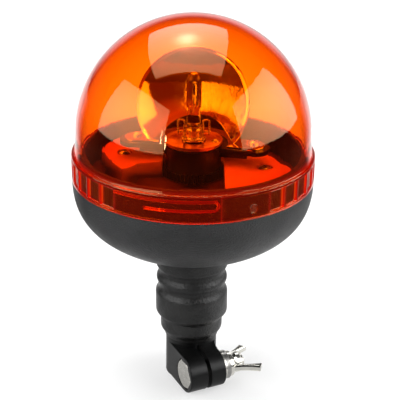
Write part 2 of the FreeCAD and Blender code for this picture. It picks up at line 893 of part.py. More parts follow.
def motor_screw_places():
    """The two screws that hang the motor under the frame, either side of its shaft."""
    motor_x, motor_y = polar(gear_distance, motor_bearing)
    off_x, off_y = polar(motor_screw_spacing / 2, motor_bearing + 90)
    return [(motor_x + off_x, motor_y + off_y), (motor_x - off_x, motor_y - off_y)]


def frame_screws():
    level = frame_block_top - frame_recess_depth
    screws = [screw(frame_screw_head_radius, frame_screw_head_height, frame_screw_radius - screw_bite,
                    frame_screw_length - frame_screw_spare, x, y, level)
              for x, y in frame_screw_places()]
    return Part.makeCompound(screws)


save("mechanism_frame", mechanism_frame())
save("frame_screws", frame_screws())


# Lamp column: the fixed hollow post that the rotor turns on and the lamp's leads pass through.
def lamp_column():
    spigot = column_bore_radius + (column_radius - column_bore_radius) / 2
    return turned((column_bore_radius, ledge_level - column_tail),
                  (column_radius, ledge_level - column_tail), (column_radius, frame_top),
                  (column_foot_radius, frame_top), (column_foot_radius, column_foot_top),
                  (column_radius, column_foot_top), (column_radius, lamp_plate_level),
                  (spigot, lamp_plate_level), (spigot, lamp_plate_top),
                  (column_bore_radius, lamp_plate_top))


def rotor_retainer():
    ring = tube(retainer_radius, column_radius + seat_fit, rotor_top + thrust_gap,
                rotor_top + thrust_gap + retainer_thickness)
    gap = Part.makeBox(retainer_radius, retainer_gap, retainer_thickness * 2)
    gap.translate(Vector(0, -retainer_gap / 2, rotor_top))
    return ring.cut(gap)


save("lamp_column", lamp_column())
save("rotor_retainer", rotor_retainer())


# Lamp plate: pressed metal disc with a turned-up edge, carrying the lamp and its clip.
def lamp_plate():
    spigot = column_bore_radius + (column_radius - column_bore_radius) / 2
    edge = lamp_plate_radius
    inner_edge = edge - lamp_plate_thickness
    return turned((spigot + seat_fit, lamp_plate_level), (edge, lamp_plate_level),
                  (edge, lamp_plate_top + lamp_plate_dish),
                  (inner_edge, lamp_plate_top + lamp_plate_dish),
                  (inner_edge - lamp_plate_slope, lamp_plate_top),
                  (spigot + seat_fit, lamp_plate_top))


def plate_rivet():
    x, y = polar(rivet_circle, view_bearing + rivet_offset)
    rivet = turned((0, lamp_plate_top), (rivet_radius, lamp_plate_top),
                   cap(rivet_radius, lamp_plate_top, rivet_height))
    return rivet.translated(Vector(x, y, 0))


save("lamp_plate", lamp_plate())
save("plate_rivet", plate_rivet())


# Halogen lamp: flange and sleeve, glass tube with a rounded end, and the filament on its leads.
def lamp_base():
    sleeve_top = lamp_flange_top + lamp_sleeve_height
    inner = lamp_sleeve_radius - lamp_sleeve_wall
    seat = sleeve_top - lamp_glass_seat
    return turned((0, lamp_plate_top), (lamp_flange_radius, lamp_plate_top),
                  (lamp_flange_radius, lamp_flange_top),
                  (lamp_sleeve_radius + lamp_sleeve_flare, lamp_flange_top),
                  (lamp_sleeve_radius, lamp_flange_top + lamp_sleeve_foot),
                  (lamp_sleeve_radius, sleeve_top), (inner, sleeve_top), (inner, seat), (0, seat))


def lamp_glass():
    sleeve_top = lamp_flange_top + lamp_sleeve_height
    stem = lamp_sleeve_radius - lamp_sleeve_wall - seat_fit
    bulge = lamp_glass_radius
    shoulder = sleeve_top + lamp_glass_shoulder
    side = lamp_glass_top - lamp_tip_height - bulge
    inner = bulge - lamp_glass_wall
    floor = sleeve_top + lamp_glass_floor
    tip_level = lamp_glass_top - lamp_tip_radius
    shell = turned((0, sleeve_top - lamp_glass_seat), (stem, sleeve_top - lamp_glass_seat),
                   (stem, sleeve_top + seat_fit), (bulge, shoulder), (bulge, side),
                   cap(bulge, side, bulge))
    tip = turned((0, side), (lamp_tip_radius * 1.8, side + bulge * 0.9),
                 (lamp_tip_radius, tip_level), cap(lamp_tip_radius, tip_level, lamp_tip_radius))
    cavity = turned((0, floor), (inner, floor + lamp_glass_wall / 2), (inner, side),
                    cap(inner, side, inner))
    return shell.fuse(tip).cut(cavity).removeSplitter()


def lamp_filament():
    floor = lamp_flange_top + lamp_sleeve_height + lamp_glass_floor
    low = filament_level - filament_length / 2
    high = filament_level + filament_length / 2
    over = high + filament_post_rise
    coil = rod(filament_radius, low, high)
    stem = rod(filament_stem_radius, floor, low)
    reach = filament_post_reach
    post = bent_wire([(reach, 0, floor + lamp_glass_wall / 2), (reach, 0, over), (0, 0, over),
                      (0, 0, high)], filament_post_radius * 2, filament_post_radius)
    return coil.fuse(stem).fuse(post)


save("lamp_base", lamp_base())
save("lamp_glass", lamp_glass())
save("lamp_filament", lamp_filament())


# Lamp clip: one bent wire whose two arms press the lamp's flange, each with a finger loop.
def lamp_clip():
    arm = lamp_flange_top + clip_wire_radius + seat_fit
    high = arm + clip_loop_height
    inner = clip_arm_offset
    outer = clip_arm_offset + clip_loop_width
    half = [(inner, -clip_front, arm), (inner, clip_loop_back, arm), (inner, clip_loop_back, high),
            (outer, clip_loop_back, high), (outer, clip_loop_back, arm), (outer, clip_back, arm)]
    other = [(-x, y, z) for x, y, z in reversed(half)]
    wire = bent_wire(half + other, clip_bend, clip_wire_radius)
    return toward_view(wire)


save("lamp_clip", lamp_clip())


# Rotor hub: a toothed skirt, a long bearing and a plate with two arms for the reflector.
def tooth_outline(teeth, shift):
    """Closed involute-like outline of a spur gear: root, flank and tip points of each tooth."""
    pitch = gear_module * teeth / 2
    base = pitch * math.cos(math.radians(pressure_angle))
    tip = pitch + gear_module
    root = pitch - tooth_dedendum * gear_module
    start = max(base, root + running_clearance)
    arc = math.pi * gear_module / 2 - tooth_backlash
    involute = math.tan(math.radians(pressure_angle)) - math.radians(pressure_angle)
    flank = []
    for share in (0.0, 0.35, 0.7, 1.0):
        radius = start + (tip - start) * share
        turn = math.acos(min(1.0, base / radius))
        half = arc / (2 * pitch) + involute - (math.tan(turn) - turn)
        flank.append((radius, half))
    flank.insert(0, (root, flank[0][1] * 1.05))
    points = []
    for tooth in range(teeth):
        middle = 2 * math.pi * tooth / teeth + shift
        for radius, half in flank:
            points.append((radius, middle - half))
        for radius, half in reversed(flank):
            points.append((radius, middle + half))
    points.append(points[0])
    return [Vector(radius * math.cos(turn), radius * math.sin(turn), 0) for radius, turn in points]


def gear(teeth, shift, width, level):
    """Spur gear blank, solid to its axis."""
    face = Part.Face(Part.makePolygon(tooth_outline(teeth, shift)))
    body = face.extrude(Vector(0, 0, width))
    body.translate(Vector(0, 0, level))
    return body


def arms(level, thickness, disc, reach, half_width):
    """Plate with a disc and an arm to each side, cut straight in front of the lamp."""
    turn_in = half_width * 0.8
    front = half_width * 0.6
    middle = -half_width * 0.2
    waist = disc * 0.55
    bar = flat_shape(level, thickness, (-half_width, turn_in - reach), (-half_width, reach - turn_in),
                     ((middle, reach), (front, reach - front)),
                     (front_cut, waist), (front_cut, -waist), (front, front - reach),
                     ((middle, -reach), (-half_width, turn_in - reach)))
    back = Part.makeBox(disc + front_cut, disc * 2, thickness)
    back.translate(Vector(-disc, -disc, level))
    return rod(disc, level, level + thickness).common(back).fuse(bar)


def rotor_hub():
    inner = column_radius + running_clearance
    bearing = inner + bearing_wall
    low = column_foot_top + thrust_gap
    skirt_low = gear_level
    body = turned((inner, low), (bearing, low), (bearing, rotor_plate_level),
                  (hub_radius - hub_wall, rotor_plate_level), (hub_radius - hub_wall, skirt_low),
                  (hub_radius, skirt_low), (hub_radius, rotor_top), (inner, rotor_top))
    pitch_shift = math.radians(motor_bearing)
    teeth = gear(gear_teeth, pitch_shift, gear_width, gear_level)
    teeth = teeth.cut(rod(hub_radius - hub_wall, gear_level, gear_level + gear_width))
    body = body.fuse(teeth)
    plate = arms(rotor_plate_level, rotor_plate_thickness, rotor_disc_radius, rotor_lobe_reach,
                 rotor_lobe_half_width)
    for side in (-1, 1):
        rib = Part.makeBox(rotor_rib_thickness, rotor_lobe_reach - rotor_lobe_half_width - hub_radius,
                           rotor_rib_height)
        rib.translate(Vector(-rotor_rib_thickness / 2, hub_radius - 0.5,
                             rotor_plate_level - rotor_rib_height))
        plate = plate.fuse(spun(rib, 90 - side * 90))
    plate = spun(plate, dish_bearing)
    hole = rod(hub_radius - hub_wall, rotor_plate_level - rotor_rib_height, rotor_top)
    body = body.fuse(plate.cut(hole))
    for x, y in reflector_screw_places():
        body = body.cut(rod(small_screw_radius, rotor_plate_level, rotor_top, x, y))
    return body.removeSplitter()


def reflector_screw_places():
    """The two screws that hold the reflector on the rotor's arms."""
    return [polar(reflector_screw_reach, dish_bearing + side * reflector_screw_angle) for side in (-1, 1)]


save("rotor_hub", rotor_hub())


# Reflector: a parabolic dish with the filament at its focus. Its beam leaves level, its round rim
# leans back, and an arch in its foot clears the fixed lamp plate.
def dish_space(shift):
    """The space in front of the dish's parabola, with the parabola moved back by shift."""
    reach = dish_rim_radius + dish_rim_width + dish_lift
    mouth = reach ** 2 / (4 * dish_focus) - dish_focus
    vertex = -dish_focus - shift
    front = mouth + dish_wall
    curve = Part.BezierCurve()
    curve.setPoles([Vector(vertex, 0, 0), Vector(vertex, 0, reach / 2), Vector(mouth - shift, 0, reach)])
    corners = [Vector(mouth - shift, 0, reach), Vector(front, 0, reach), Vector(front, 0, 0),
               Vector(vertex, 0, 0)]
    profile = [curve.toShape()]
    profile += [Part.makeLine(first, second) for first, second in zip(corners, corners[1:])]
    space = Part.Face(Part.Wire(profile)).revolve(centre, right, full_turn)
    return space.translated(Vector(0, 0, filament_level))


def behind_rim(depth):
    """A slab of some depth behind the plane that the dish's rim lies in."""
    rim_x = (dish_rim_radius ** 2 + dish_lift ** 2) / (4 * dish_focus) - dish_focus
    lean = math.degrees(math.atan(dish_lift / (2 * dish_focus)))
    width = (dish_rim_radius + dish_rim_width) * 4
    slab = Part.makeBox(depth, width, width)
    slab.translate(Vector(-depth, -width / 2, -width / 2))
    slab.rotate(centre, Vector(0, 1, 0), -lean)
    return slab.translated(Vector(rim_x, 0, dish_level))


def reflector():
    lip = dish_rim_radius + dish_rim_width
    start = Vector(-dish_focus * 2, 0, dish_level)
    bowl = Part.makeCylinder(dish_rim_radius + dish_rim_width / 2, dish_focus * 4, start, right)
    bowl = bowl.common(dish_space(dish_wall)).common(behind_rim(dish_focus * 4))
    flange = Part.makeCylinder(lip, dish_focus * 4, start, right).common(behind_rim(dish_wall))
    dish = bowl.fuse(flange).cut(dish_space(0))
    keep = Part.makeBox(lip * 4, lip * 4, lip * 4)
    keep.translate(Vector(-lip * 2, -lip * 2, rotor_top))
    dish = dish.common(keep)
    arch_low = rotor_top - arch_overlap
    arch = flat_shape(0, dish_focus * 3, (-reflector_hole_radius, 0),
                      ((0, arch_height + reflector_top - rotor_top), (reflector_hole_radius, 0)),
                      (reflector_hole_radius, arch_low - rotor_top),
                      (-reflector_hole_radius, arch_low - rotor_top))
    arch.rotate(centre, right, 90)
    arch.rotate(centre, up, 90)
    arch.translate(Vector(-dish_focus * 2, 0, rotor_top))
    dish = dish.cut(arch)
    plate = arms(rotor_top, reflector_plate_thickness, reflector_disc_radius, reflector_lobe_reach,
                 reflector_lobe_half_width)
    plate = plate.cut(rod(reflector_hole_radius, rotor_top, reflector_top))
    body = spun(dish.fuse(plate), dish_bearing)
    for x, y in reflector_screw_places():
        body = body.cut(rod(small_screw_radius + screw_clearance, rotor_top, reflector_top, x, y))
    return body


def reflector_screws():
    screws = [screw(small_screw_head_radius, small_screw_head_height,
                    small_screw_radius - seat_fit, rotor_plate_thickness + reflector_plate_thickness,
                    x, y, reflector_top)
              for x, y in reflector_screw_places()]
    return Part.makeCompound(screws)


save("reflector", reflector())
save("reflector_screws", reflector_screws())


# Motor under the frame, with its pinion in mesh with the hub's teeth above the floor.
def at_motor(shape):
    """Moves a shape made about Z to the motor's axis."""
    x, y = polar(gear_distance, motor_bearing)
    return shape.translated(Vector(x, y, 0))


def motor_body():
    corner = motor_cap_seat
    bevel = motor_edge_bevel
    body = turned((0, motor_bottom + corner), (motor_radius - bevel, motor_bottom + corner),
                  (motor_radius, motor_bottom + corner + bevel), (motor_radius, motor_top - corner),
                  (motor_radius - corner, motor_top), (motor_boss_radius, motor_top),
                  (motor_boss_radius, frame_top), (0, frame_top))
    body = body.cut(rod(motor_shaft_radius + running_clearance, motor_bottom, frame_top))
    body = at_motor(body)
    for x, y in motor_screw_places():
        body = body.cut(rod(small_screw_radius, motor_top - small_screw_depth, motor_top, x, y))
    return body


def motor_cap():
    cover = rod(motor_radius - motor_cap_inset, motor_cap_level, motor_cap_level + motor_cap_thickness)
    return at_motor(cover)


def terminal_places():
    """The motor's two terminals, either side of its axis."""
    motor_x, motor_y = polar(gear_distance, motor_bearing)
    off_x, off_y = polar(terminal_spacing / 2, motor_bearing + 90)
    return [(motor_x + off_x, motor_y + off_y), (motor_x - off_x, motor_y - off_y)]


def motor_terminals():
    tabs = []
    for x, y in terminal_places():
        tab = Part.makeBox(terminal_width, terminal_thickness, terminal_height)
        tab.translate(Vector(-terminal_width / 2, -terminal_thickness / 2, terminal_level))
        tabs.append(spun(tab, motor_bearing + 90).translated(Vector(x, y, 0)))
    return Part.makeCompound(tabs)


def motor_screws():
    screws = [screw(small_screw_head_radius, motor_screw_head_height,
                    small_screw_radius - seat_fit, frame_floor + small_screw_depth - screw_end_gap,
                    x, y, frame_top)
              for x, y in motor_screw_places()]
    return Part.makeCompound(screws)


def motor_shaft():
    return at_motor(rod(motor_shaft_radius, motor_bottom + motor_shaft_foot,
                        gear_level + gear_width + motor_shaft_end))


def motor_pinion():
    half_tooth = math.pi / pinion_teeth
    shift = math.radians(motor_bearing) + math.pi + half_tooth
    body = gear(pinion_teeth, shift, gear_width, gear_level)
    collar_low = frame_top + thrust_gap
    body = body.fuse(rod(gear_module * (pinion_teeth / 2 - tooth_dedendum), collar_low, gear_level))
    body = body.cut(rod(motor_shaft_radius + pinion_bore_fit, collar_low, gear_level + gear_width))
    return at_motor(body)


save("motor_body", motor_body())
save("motor_cap", motor_cap())
save("motor_terminals", motor_terminals())
save("motor_screws", motor_screws())
save("motor_shaft", motor_shaft())
save("motor_pinion", motor_pinion())


# Leads: two up the rubber neck, two from the terminal block to the lamp, two to the motor.
def neck_leads():
    low = contact_cap_level + contact_cap_thickness
    leads = [rod(lead_radius, low, plate_top, side * lead_spacing / 2) for side in (-1, 1)]
    return Part.makeCompound(leads)


def lamp_leads():
    low = plate_top + block_height
    leads = [rod(lead_radius, low - lead_entry, lamp_plate_top, side * lead_spacing / 2)
             for side in (-1, 1)]
    return Part.makeCompound(leads)


def motor_leads():
    level = plate_top + block_height / 2
    side = block_width / 2
    ends = [min(x, block_length / 2 - lead_radius) for x, y in terminal_places()]
    leads = [bent_wire([(end, side, level), (x, y, level), (x, y, terminal_level)],
                       lead_bend, lead_radius)
             for end, (x, y) in zip(ends, terminal_places())]
    return Part.makeCompound(leads)


save("neck_leads", neck_leads())
save("lamp_leads", lamp_leads())
save("motor_leads", motor_leads())


# Lens: clear orange dome in one piece with its grip ring. Inside the ring, three bayonet tracks
# hook under the bowl's lugs.
def dome_solid(inset):
    """Solid of the lens's outer or inner form."""
    radius = dome_radius - inset
    apex = apex_level - inset
    level = dome_centre_level
    diagonal = math.sqrt(0.5) * radius
    foot = dome_foot_radius - inset
    ring = overall_radius - inset
    top = ring_top_level - inset
    return turned((0, seam_level), (ring, seam_level), (ring, top - ring_bevel),
                  (ring - ring_bevel, top), (foot, top), (radius, level),
                  ((diagonal, level + diagonal), (0, apex)))


def lens_dome():
    body = dome_solid(0.0).cut(dome_solid(lens_wall))
    pocket_low = seam_level + rib_pocket_margin
    pocket_high = ring_top_level - rib_pocket_margin
    pocket_width = rib_pitch - rib_width
    group_step = full_turn / lug_count
    for group in range(lug_count):
        for gap in range(ribs_per_group - 1):
            bearing = front_bearing + rib_group_start + (gap + 0.5) * rib_pitch + group * group_step
            pocket = sector(overall_radius + 1.0, overall_radius - rib_pocket_depth, pocket_low,
                            pocket_high, bearing, pocket_width)
            body = body.cut(pocket)
    inner = lens_inner_radius - track_depth
    outer = lens_inner_radius + lens_wall / 4
    lower_top = lug_level - lug_gap
    upper_low = lug_level + lug_height + lug_gap
    for group in range(lug_count):
        middle = front_bearing + group * group_step
        lower = sector(outer, inner, lower_top - track_thickness, lower_top,
                       middle + (track_start + track_end) / 2, track_end - track_start)
        upper = sector(outer, inner, upper_low, upper_low + track_thickness,
                       middle + (track_lead + track_end) / 2, track_end - track_lead)
        stop = sector(outer, inner, lower_top - track_thickness, upper_low + track_thickness,
                      middle + track_end - stop_width / 2, stop_width)
        body = body.fuse(lower).fuse(upper).fuse(stop)
    dimple = Part.makeCylinder(dimple_radius, dimple_depth * 2,
                               Vector(overall_radius - dimple_depth, 0, dimple_level), right)
    body = body.cut(spun(dimple, front_bearing + dimple_offset))
    return body.removeSplitter()


save("lens_dome", lens_dome())
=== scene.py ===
import math

import bmesh
import bpy
import numpy as np
from mathutils import Matrix, Vector


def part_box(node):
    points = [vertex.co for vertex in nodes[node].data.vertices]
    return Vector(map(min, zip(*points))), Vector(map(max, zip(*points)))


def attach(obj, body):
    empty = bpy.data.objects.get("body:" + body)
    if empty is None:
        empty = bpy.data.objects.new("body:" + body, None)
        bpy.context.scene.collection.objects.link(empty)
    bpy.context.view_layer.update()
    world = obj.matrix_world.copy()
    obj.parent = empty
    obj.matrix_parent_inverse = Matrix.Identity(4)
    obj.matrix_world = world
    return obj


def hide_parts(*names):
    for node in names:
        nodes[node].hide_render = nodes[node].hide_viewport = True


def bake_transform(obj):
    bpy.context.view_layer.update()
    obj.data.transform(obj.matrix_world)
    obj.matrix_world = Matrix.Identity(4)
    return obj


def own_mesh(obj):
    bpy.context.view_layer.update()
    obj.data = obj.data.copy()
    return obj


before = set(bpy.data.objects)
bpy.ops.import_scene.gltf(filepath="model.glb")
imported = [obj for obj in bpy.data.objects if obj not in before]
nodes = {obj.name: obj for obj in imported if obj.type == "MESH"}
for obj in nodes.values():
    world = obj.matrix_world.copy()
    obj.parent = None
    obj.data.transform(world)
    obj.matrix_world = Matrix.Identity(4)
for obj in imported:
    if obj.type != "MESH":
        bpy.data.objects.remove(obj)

scene = bpy.context.scene
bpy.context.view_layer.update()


# Clamp socket: the split tube that grips the pole, with two ears and a pocket for the bolt head.
# Glass-filled nylon, injection moulded, black with a satin skin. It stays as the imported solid,
# and only gets its plastic here.
def fill(tree, node, inputs):
    """Sets or links a node's inputs, given by name or number."""
    for place, value in inputs.items():
        if isinstance(value, bpy.types.NodeSocket):
            tree.links.new(value, node.inputs[place])
        else:
            node.inputs[place].default_value = value


def add_node(tree, kind, inputs, **settings):
    """Adds a node with its settings and its inputs."""
    made = tree.nodes.new(kind)
    for name, value in settings.items():
        setattr(made, name, value)
    fill(tree, made, inputs)
    return made


def calc(tree, operation, *values):
    """Result of one operation on numbers."""
    return add_node(tree, "ShaderNodeMath", dict(enumerate(values)), operation=operation).outputs["Value"]


def mixed(tree, factor, first, second, way="MIX"):
    """Two colours mixed by a factor."""
    inputs = {"Factor": factor, "A": first, "B": second}
    return add_node(tree, "ShaderNodeMix", inputs, data_type="RGBA", blend_type=way).outputs["Result"]


def ranged(tree, value, low, high, start, end, curve="LINEAR"):
    """A value carried from the range low to high onto start to end, and held at its ends."""
    inputs = {"Value": value, "From Min": low, "From Max": high, "To Min": start, "To Max": end}
    return add_node(tree, "ShaderNodeMapRange", inputs, interpolation_type=curve).outputs["Result"]


def noise(tree, scale, detail=2.0, roughness=0.5):
    """Noise in the object's own coordinates."""
    place = tree.nodes.new("ShaderNodeTexCoord").outputs["Object"]
    inputs = {"Vector": place, "Scale": scale, "Detail": detail, "Roughness": roughness}
    return add_node(tree, "ShaderNodeTexNoise", inputs).outputs["Fac"]


def bumped(tree, height, strength, distance):
    """Normal of a relief, whose distance is in metres."""
    inputs = {"Height": height, "Strength": strength, "Distance": distance}
    return add_node(tree, "ShaderNodeBump", inputs).outputs["Normal"]


def surface_variation():
    """Group for every hard finish: fine grain as a height, and slow changes of tone and shine."""
    group = bpy.data.node_groups.new("surface_variation", "ShaderNodeTree")
    socket = group.interface.new_socket
    socket("Colour", in_out="INPUT", socket_type="NodeSocketColor")
    for label in ("Tone", "Grain Scale", "Patch Scale", "Rough Low", "Rough High"):
        socket(label, in_out="INPUT", socket_type="NodeSocketFloat")
    socket("Colour", in_out="OUTPUT", socket_type="NodeSocketColor")
    for label in ("Roughness", "Height"):
        socket(label, in_out="OUTPUT", socket_type="NodeSocketFloat")
    given = group.nodes.new("NodeGroupInput").outputs
    grain = noise(group, given["Grain Scale"], detail=3.0, roughness=0.6)
    patch = noise(group, given["Patch Scale"], detail=4.0, roughness=0.55)
    spread = ranged(group, patch, low=0.35, high=0.65, start=0.0, end=1.0)
    shade = calc(group, "MULTIPLY", spread, given["Tone"])
    tone = mixed(group, shade, given["Colour"], (0.0, 0.0, 0.0, 1.0), way="MULTIPLY")
    shine = ranged(group, patch, low=0.3, high=0.7, start=given["Rough Low"], end=given["Rough High"])
    add_node(group, "NodeGroupOutput", {"Colour": tone, "Roughness": shine, "Height": grain})
    return group


variation = surface_variation()


def finish(label, colour, tone, grain, patch, rough, bump, depth, metal=0.0):
    """Material of one finish: the variation group feeding colour, shine and a fine bump."""
    made = bpy.data.materials.new(label)
    made.use_nodes = True
    tree = made.node_tree
    varied = add_node(tree, "ShaderNodeGroup", {
        "Colour": (*colour, 1.0), "Tone": tone, "Grain Scale": grain, "Patch Scale": patch,
        "Rough Low": rough[0], "Rough High": rough[1]}, node_tree=variation).outputs
    relief = bumped(tree, varied["Height"], bump, depth)
    fill(tree, tree.nodes["Principled BSDF"], {
        "Base Color": varied["Colour"], "Roughness": varied["Roughness"], "Normal": relief,
        "Metallic": metal})
    return made


def dress(made, *names):
    """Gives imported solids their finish, slot by slot."""
    for name in names:
        for slot in nodes[name].material_slots:
            slot.material = made


clamp_nylon = finish("clamp_nylon", (0.003, 0.003, 0.003), tone=0.25, grain=1500.0, patch=60.0,
                     rough=(0.30, 0.42), bump=0.25, depth=0.0001)
clamp_nylon.node_tree.nodes["Principled BSDF"].inputs["Specular IOR Level"].default_value = 0.3
dress(clamp_nylon, "clamp_socket")

# Clamp bolt, nut and washers: an M10 hex bolt whose chamfered head lies flush in the ear, and a wing
# nut. Steel, cold headed, and cast zinc alloy for the nut, both bright nickel plated. The spring
# washer is zinc plated.
bolt_nickel = finish("bolt_nickel", (0.72, 0.70, 0.65), tone=0.15, grain=2500.0, patch=250.0,
                     rough=(0.22, 0.34), bump=0.15, depth=0.00005, metal=1.0)
dress(bolt_nickel, "hex_bolt", "plain_washer")
cast_nickel = finish("cast_nickel", (0.80, 0.78, 0.72), tone=0.12, grain=420.0, patch=160.0,
                     rough=(0.12, 0.24), bump=0.30, depth=0.0003, metal=1.0)
dress(cast_nickel, "wing_nut")
spring_zinc = finish("spring_zinc", (0.46, 0.45, 0.43), tone=0.35, grain=1800.0, patch=220.0,
                     rough=(0.28, 0.42), bump=0.2, depth=0.00008, metal=1.0)
dress(spring_zinc, "spring_washer")

# Contacts above the pole: a brass ring, a sprung brass pin and the wires' brass cap, in a moulded
# insulating carrier. The spring is hard-drawn stainless wire, and flattens as the pin is pressed in.
# The motor's small parts and the rotor's retainer are of the same three materials.
contact_brass = finish("contact_brass", (0.75, 0.56, 0.24), tone=0.25, grain=1600.0, patch=120.0,
                       rough=(0.20, 0.38), bump=0.2, depth=0.00006, metal=1.0)
dress(contact_brass, "earth_ring", "centre_contact", "contact_cap", "motor_terminals", "motor_pinion")
insulator = finish("insulator", (0.020, 0.020, 0.022), tone=0.2, grain=1400.0, patch=90.0,
                   rough=(0.40, 0.55), bump=0.2, depth=0.0001)
dress(insulator, "contact_carrier", "motor_cap")
spring_steel = finish("spring_steel", (0.58, 0.57, 0.55), tone=0.2, grain=1500.0, patch=200.0,
                      rough=(0.20, 0.32), bump=0.15, depth=0.00005, metal=1.0)
dress(spring_steel, "rotor_retainer", "motor_shaft")


def grid_mesh(name, points, pole_row=None):
    """Closed surface on a grid of points in millimetres. Its columns close on themselves, and so do
    its rows. Two rows at a pole leave no faces between them."""
    rows, columns = points.shape[:2]
    index = np.arange(rows * columns).reshape(rows, columns)
    beside = np.roll(index, -1, axis=1)
    above = np.roll(index, -1, axis=0)
    corner = np.roll(above, -1, axis=1)
    faces = np.stack([index, beside, corner, above], axis=2)
    keep = np.ones(rows, bool)
    if pole_row is not None:
        keep[pole_row] = False
    faces = faces[keep].reshape(-1, 4)
    mesh = bpy.data.meshes.new(name)
    mesh.from_pydata(points.reshape(-1, 3) / 1000, [], faces.tolist())
    mesh.polygons.foreach_set("use_smooth", np.ones(len(faces), bool))
    made = bpy.data.objects.new(name, mesh)
    scene.collection.objects.link(made)
    return made


def tidy_mesh(made, sharp=None):
    """Merges what lies double, turns the faces outwards, and keeps the edges sharp that turn by
    more than an angle in degrees, where one is given."""
    same_place = 1e-7
    merge = bmesh.new()
    merge.from_mesh(made.data)
    bmesh.ops.remove_doubles(merge, verts=merge.verts, dist=same_place)
    bmesh.ops.dissolve_degenerate(merge, edges=merge.edges, dist=same_place)
    bmesh.ops.recalc_face_normals(merge, faces=merge.faces)
    merge.to_mesh(made.data)
    merge.free()
    if sharp is not None:
        made.data.set_sharp_from_angle(angle=math.radians(sharp))


# The coil's line is r cos a, r sin a, and a level that rises evenly with a. Each ring of the wire
# lies across the line, in its outward and upward directions, and a point closes each end.
wire_radius, wire_sides, coil_count, coil_sides = 0.3, 12, 4, 36
spring_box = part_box("contact_spring")
spring_low, spring_high = spring_box[0][2] * 1000, spring_box[1][2] * 1000
coil_radius = spring_box[1][0] * 1000 - wire_radius
coil_turns = np.linspace(0.0, 2 * np.pi * coil_count, coil_sides * coil_count + 1)
coil_out = np.stack([np.cos(coil_turns), np.sin(coil_turns), np.zeros_like(coil_turns)], axis=1)
coil_rise = (spring_high - spring_low - 2 * wire_radius) / coil_turns[-1]
coil_way = np.stack([-coil_radius * np.sin(coil_turns), coil_radius * np.cos(coil_turns),
                     np.full_like(coil_turns, coil_rise)], axis=1)
coil_up = np.cross(coil_way, coil_out)
coil_up /= np.linalg.norm(coil_up, axis=1)[:, None]
coil_line = coil_out * coil_radius
coil_line[:, 2] = spring_low + wire_radius + coil_rise * coil_turns
wire_turns = np.linspace(0.0, 2 * np.pi, wire_sides, endpoint=False)
wire_rings = (coil_line[:, None] + wire_radius * np.cos(wire_turns)[:, None] * coil_out[:, None]
              + wire_radius * np.sin(wire_turns)[:, None] * coil_up[:, None])
wire_ends = np.repeat(coil_line[[0, -1], None], wire_sides, axis=1)
coil_spring = grid_mesh("coil_spring", np.concatenate([wire_ends[:1], wire_rings, wire_ends[1:]]),
                        len(coil_line) + 1)
tidy_mesh(coil_spring)
coil_spring.data.materials.append(spring_steel)
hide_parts("contact_spring")
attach(coil_spring, "pole_clamp")
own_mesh(coil_spring)


# Rubber neck: a moulded sleeve pushed over the socket's barb, with two grooves that let the head
# bend and spring back. Black rubber, matt, with a soft moulding line and rubbed, dusty patches.
def swing(start_radius, start_level, end_radius, end_level, steps=14):
    """Rows of an S curve between two radii: radius by 3t^2-2t^3, and level by a cubic curve whose
    two inner poles lie half way."""
    t = np.linspace(0.0, 1.0, steps, endpoint=False)
    middle = (start_level + end_level) / 2
    radius = start_radius + (end_radius - start_radius) * (3 * t**2 - 2 * t**3)
    level = start_level * (1 - t)**3 + 3 * middle * t * (1 - t) + end_level * t**3
    return np.stack([radius, level], axis=1)


def straight(*points, steps):
    """Rows along straight runs between points, without the last point."""
    rows = []
    for first, last in zip(points, points[1:]):
        t = np.linspace(0.0, 1.0, steps, endpoint=False)[:, None]
        rows.append(np.array(first) * (1 - t) + np.array(last) * t)
    return np.concatenate(rows)


def turned_mesh(name, radius, level, angles, pole_row=None):
    """Closed surface from rows round the Z axis: x = r cos a, y = r sin a, z = level, in millimetres.
    Rows run up the outside and down the inside."""
    points = np.stack([radius * np.cos(angles), radius * np.sin(angles), level], axis=2)
    return grid_mesh(name, points, pole_row)


def bell(value, middle, width):
    """1 at a middle and falling off on both sides of it: e^-d^2, with d the distance in widths."""
    return np.exp(-((value - middle) / width)**2)


neck_outside = np.concatenate([
    straight((15.6, 26.5), (16.1, 26.5), steps=2),
    swing(16.3, 26.6, 18.9, 33.0),
    straight((18.9, 33.0), (18.9, 38.0), steps=4),
    swing(18.9, 38.0, 21.9, 44.0),
    straight((21.9, 44.0), (21.9, 55.0), steps=6),
    swing(21.9, 55.0, 19.9, 60.0),
    swing(19.9, 60.0, 21.4, 65.0),
    swing(21.4, 65.0, 19.7, 69.4),
    swing(19.7, 69.4, 21.7, 75.0),
    straight((21.7, 75.0), (22.4, 82.5), steps=6),
    straight((22.4, 82.6), (15.0, 82.6), steps=6),
])
neck_inside = straight(
    (15.0, 82.6), (15.0, 85.1), (19.5, 85.1), (19.5, 88.5), (12.0, 88.5), (12.0, 82.6), (14.0, 76.6),
    (14.0, 56.0), (15.55, 56.0), (15.55, 52.0), (19.05, 50.5), (19.05, 46.5), (15.55, 43.45),
    (15.55, 26.5), steps=6)
neck_rows = np.concatenate([neck_outside, neck_inside])
neck_angles = np.linspace(0.0, 2 * np.pi, 160, endpoint=False)
neck_radius = np.repeat(neck_rows[:, :1], len(neck_angles), axis=1)
neck_level = np.repeat(neck_rows[:, 1:], len(neck_angles), axis=1)
outside = slice(0, len(neck_outside))
ridge_angle, ridge_height, ridge_width = math.radians(64.0), 0.12, 0.02
sway_level, sway_fade, outside_trim = 27.0, 6.0, 0.1
from_ridge = (neck_angles - ridge_angle + np.pi / 2) % np.pi - np.pi / 2
neck_radius[outside] += ridge_height * bell(from_ridge, 0.0, ridge_width)
sway = 0.06 * np.sin(3 * neck_angles + neck_level[outside] * 0.22) + 0.05 * np.sin(5 * neck_angles)
sway_share = np.clip((neck_level[outside] - sway_level) / sway_fade, 0, 1)
neck_radius[outside] += sway * sway_share - outside_trim
